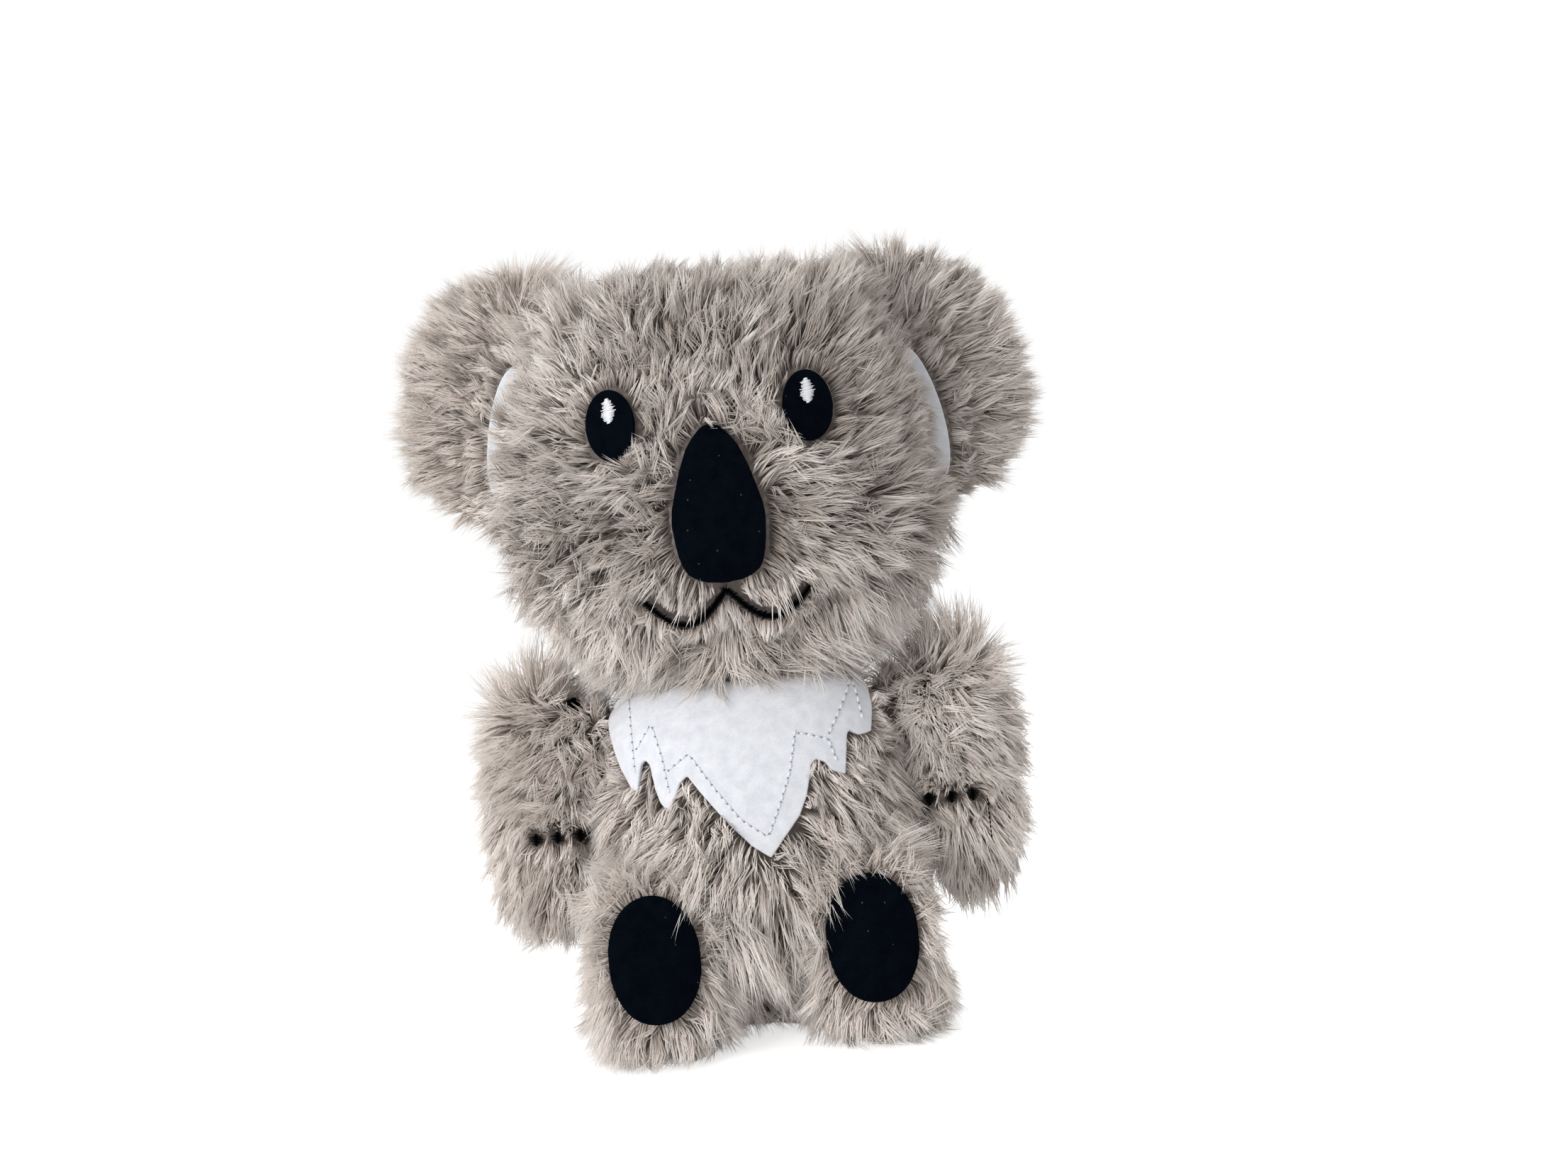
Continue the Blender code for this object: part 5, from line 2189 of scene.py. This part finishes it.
    def thread(self) -> None:
        """The claws, and each arm's own seam or tack."""
        satin, word = Satin(radius=0.24 * MM), self.side.word
        rows = [
            (satin.patch(claw), f"{word}_claw_stitches_{number}", f"{word}_claw_{number}")
            for number, claw in enumerate(self.claws, 1)
        ]
        if self.side is Side.RIGHT:
            rows.append((satin.patch(self.tack), "right_tack_stitches", "right_shoulder_tack"))
        else:
            x, z = ARM.middle[0] + self.seam_place[0], ARM.middle[2] + self.seam_place[1]
            up = np.linspace(z + self.seam_half, z - self.seam_half, self.seam_stitches)
            path = np.column_stack((np.full(len(up), x), up))
            rows.append((np.hstack((path[:-1], path[1:])), "left_seam_stitches", "left_hand_closing_seam"))
        for ends, name, node in rows:
            self.dress(satin.laid(ends, ARM, self.thread_lift), name, BLACK_THREAD, node)


@dataclass
class Leg(Sewn):
    """A leg that points forward: two panels of pile cloth over a filling, with a felt sole."""

    side: Side
    sole_size: tuple[float, float] = (24.5 * MM, 35 * MM)
    sole_rise: float = 4.5 * MM
    sole_power: float = 2.2
    sole_rim: float = -40.5 * MM
    coat_end: float = 9 * MM
    hairs: tuple[int, int] = (5800, 7700)
    comb: Comb = Comb(length=15.5 * MM)
    wander: Drift = Drift(0.2, 16 * MM, 9)
    dye: Drift = Drift(0.08, 20 * MM, 10)
    foot: Ramp = Ramp(Y, -26, -36)
    sides: Ramp = Ramp(X, 8, 14, True)
    outer_flank: tuple[Ramp, ...] = (Ramp(X, 9, 14), Ramp(Z, -10, -2), Ramp(Y, -30, -20))

    def __post_init__(self) -> None:
        """Works out the leg's place, its panels and the sole's outline."""
        self.body = f"{self.side.word}_leg"
        self.number = 40 + self.side.value
        self.place = self.side.place(LEG_FRAME)
        self.panels = halves(self.body, ("inner", "outer"), self.hairs, (X, 0))
        self.sole = oval(*self.sole_size, 0, self.sole_rise, self.sole_power)

    def near(self, points: Array) -> Array:
        """How far places are from the sole, across it and behind it."""
        return nearest(points, [self.sole]) + np.maximum(points[:, 1] - self.sole_rim, 0)

    def flow(self, points: Array) -> Array:
        """The pile lies forward along the leg and outward round the sole.

        Args:
            points: the places, one a row.

        Returns:
            A direction for each place.
        """
        lie = unit(points - np.array([0, -14 * MM, 5 * MM])) + np.array([0, -0.3, -0.75])
        foot = self.foot.at(points)[:, None]
        fan = unit((points - np.array([0, 0, self.sole_rise])) * (1, 0, 1)) + np.array([0, -0.2, -0.15])
        return lie * (1 - foot) + fan * foot + self.wander.at(points)

    def build(self) -> None:
        """Makes every piece of the leg."""
        lobe = unit_ball(64, 44)
        ball = points_of(lobe)
        set_points(lobe, LEG.skin(ball, seat(self.near(LEG.skin(ball)), -0.5 * MM, 4 * MM)))
        whole = merged([lobe, egg((0, 0, 0), HIP_RADII)], 1.6 * MM, 4)
        self.back(whole)
        core = unit_ball(28, 20)
        set_points(core, LEG.skin(points_of(core), FILLING_INSET))
        core = merged([core, egg((0, 0, 0), [r - 2 * CLOTH_THICKNESS for r in HIP_RADII])], 2.5 * MM, 4)
        self.fill(core, f"{self.body}_filling", f"{self.body}_stuffing")
        self.grow(whole)
        self.lay_felt(self.sole, LEG, 0.5 * MM, f"{self.side.word}_sole", BLACK_FELT)

    def open_cloth(self, points: Array) -> Array:
        """Off the sole and out of the hip."""
        return (self.near(points) > 0.5 * MM) & (points[:, 1] < self.coat_end)

    def styled(self, roots: Array) -> Style:
        """Short round the sole, flatter at the sides, and cut back on the left flank, where the label is.

        Args:
            roots: places of the hairs' roots.

        Returns:
            The style.
        """
        # Painted light: the legs' pile is toned paler than the head's, the same fur, and the toy's right leg
        # paler than its left
        style = Style(roots, 1.25 - 0.06 * self.side.value, self.dye)
        style.change(smoothstep(self.near(roots), 5 * MM, 0), length=-0.4)
        style.change(self.sides.at(roots), rise=-0.3)
        style.change(zone(roots, *self.outer_flank) * (self.side is Side.LEFT), length=-0.5, rise=-0.4)
        return style

    def trim(self, hairs: Hairs, panel: Panel, rng: Chance) -> Hairs:
        """Keeps the hairs off the sole."""
        return hairs.trimmed(self.near, 0.8 * MM)


@dataclass(frozen=True)
class Lamp:
    """A round soft lamp that points at the toy: its place, energy and size."""

    place: Triple
    energy: float
    size: float

    def build(self) -> None:
        """Makes the lamp."""
        deselect()
        bpy.ops.object.light_add(type="AREA", location=self.place)
        lamp = bpy.context.active_object
        lamp.data.energy, lamp.data.shape, lamp.data.size = self.energy, "DISK", self.size
        lamp.rotation_euler = (Vector((0, 0, 0.12)) - lamp.location).to_track_quat("-Z", "Y").to_euler()


@dataclass
class Studio:
    """The camera at the photograph's angle, a pale floor and soft light: a large lamp in front and to the
    viewer's left, a weak one by the camera and one behind."""

    camera_at: Triple = (16.4 * MM, -474.1 * MM, 133 * MM)
    roll: float = math.radians(6.0)
    lens: float = 34.37
    lamps: tuple[Lamp, ...] = (
        Lamp((-0.62, -0.72, 0.4), 5.4, 0.5),
        Lamp((0.2, -0.9, 0.1), 0.8, 0.6),
        Lamp((0.3, 0.85, 0.55), 4.5, 0.6),
    )
    world_strength: float = 0.48
    paper_glow: float = 0.66

    def build(self) -> None:
        """Makes the studio."""
        self.camera()
        self.floor()
        self.world()
        for lamp in self.lamps:
            lamp.build()
        bpy.context.scene.view_settings.view_transform = "Standard"

    def camera(self) -> None:
        """The camera, turned by its roll."""
        deselect()
        bpy.ops.object.camera_add(location=self.camera_at)
        camera = bpy.context.active_object
        cos, sin = math.cos(self.roll), math.sin(self.roll)
        camera.rotation_euler = Matrix(((cos, sin, 0), (0, 0, -1), (-sin, cos, 0))).to_euler()
        camera.data.lens, camera.data.sensor_width, camera.data.sensor_fit = self.lens, 36, "HORIZONTAL"
        camera.data.clip_start = 10 * MM
        bpy.context.scene.camera = camera

    def seen(self, tree: Tree) -> Socket:
        """1 for what the camera sees, also in gloss and through glass, and 0 for what gives light.

        Args:
            tree: the material's tree.

        Returns:
            The socket that gives it.
        """
        path = add_node(tree, "LightPath")
        total = path.outputs["Is Camera Ray"]
        for word in ("Glossy", "Transmission"):
            both = {0: total, 1: path.outputs[f"Is {word} Ray"]}
            total = add_node(tree, "Math", both, operation="MAXIMUM").outputs[0]
        return total

    def floor(self) -> None:
        """A white floor that keeps the toy's shadow."""
        deselect()
        bpy.ops.mesh.primitive_plane_add(size=60, location=(0, 0, -0.1 * MM))
        floor = bpy.context.active_object
        bpy.ops.object.transform_apply(location=True)
        floor.name = "floor"
        made, tree = blank_material("seamless_paper")
        matt = add_node(tree, "BsdfDiffuse", {"Color": linear("#E8E8E8")}).outputs[0]
        glow = add_node(tree, "Emission", {"Color": linear("#FFFFFF"), "Strength": self.paper_glow})
        both = add_node(tree, "AddShader", {0: matt, 1: glow.outputs[0]}).outputs[0]
        mix = add_node(tree, "MixShader", {0: self.seen(tree), 1: matt, 2: both})
        add_node(tree, "OutputMaterial", {"Surface": mix.outputs[0]})
        floor.data.materials.append(made)

    def world(self) -> None:
        """A white sky that gives a dimmer light than it shows."""
        world = bpy.data.worlds.new("studio")
        bpy.context.scene.world = world
        world.use_nodes = True
        tree = world.node_tree
        tree.nodes.clear()
        light, sky = (
            add_node(tree, "Background", {"Color": linear("#FFFFFF"), "Strength": strength}).outputs[0]
            for strength in (self.world_strength, 1.0)
        )
        mix = add_node(tree, "MixShader", {0: self.seen(tree), 1: light, 2: sky})
        add_node(tree, "OutputWorld", {"Surface": mix.outputs[0]})


def main() -> None:
    """Builds the toy and its studio."""
    logging.basicConfig(level=logging.INFO, format="%(message)s")
    Studio().build()
    Head().build()
    Neck().build()
    Torso().build()
    CareLabel().build()
    for side in Side:
        Ear(side).build()
        Arm(side).build()
        Leg(side).build()


if __name__ == "__main__":
    main()
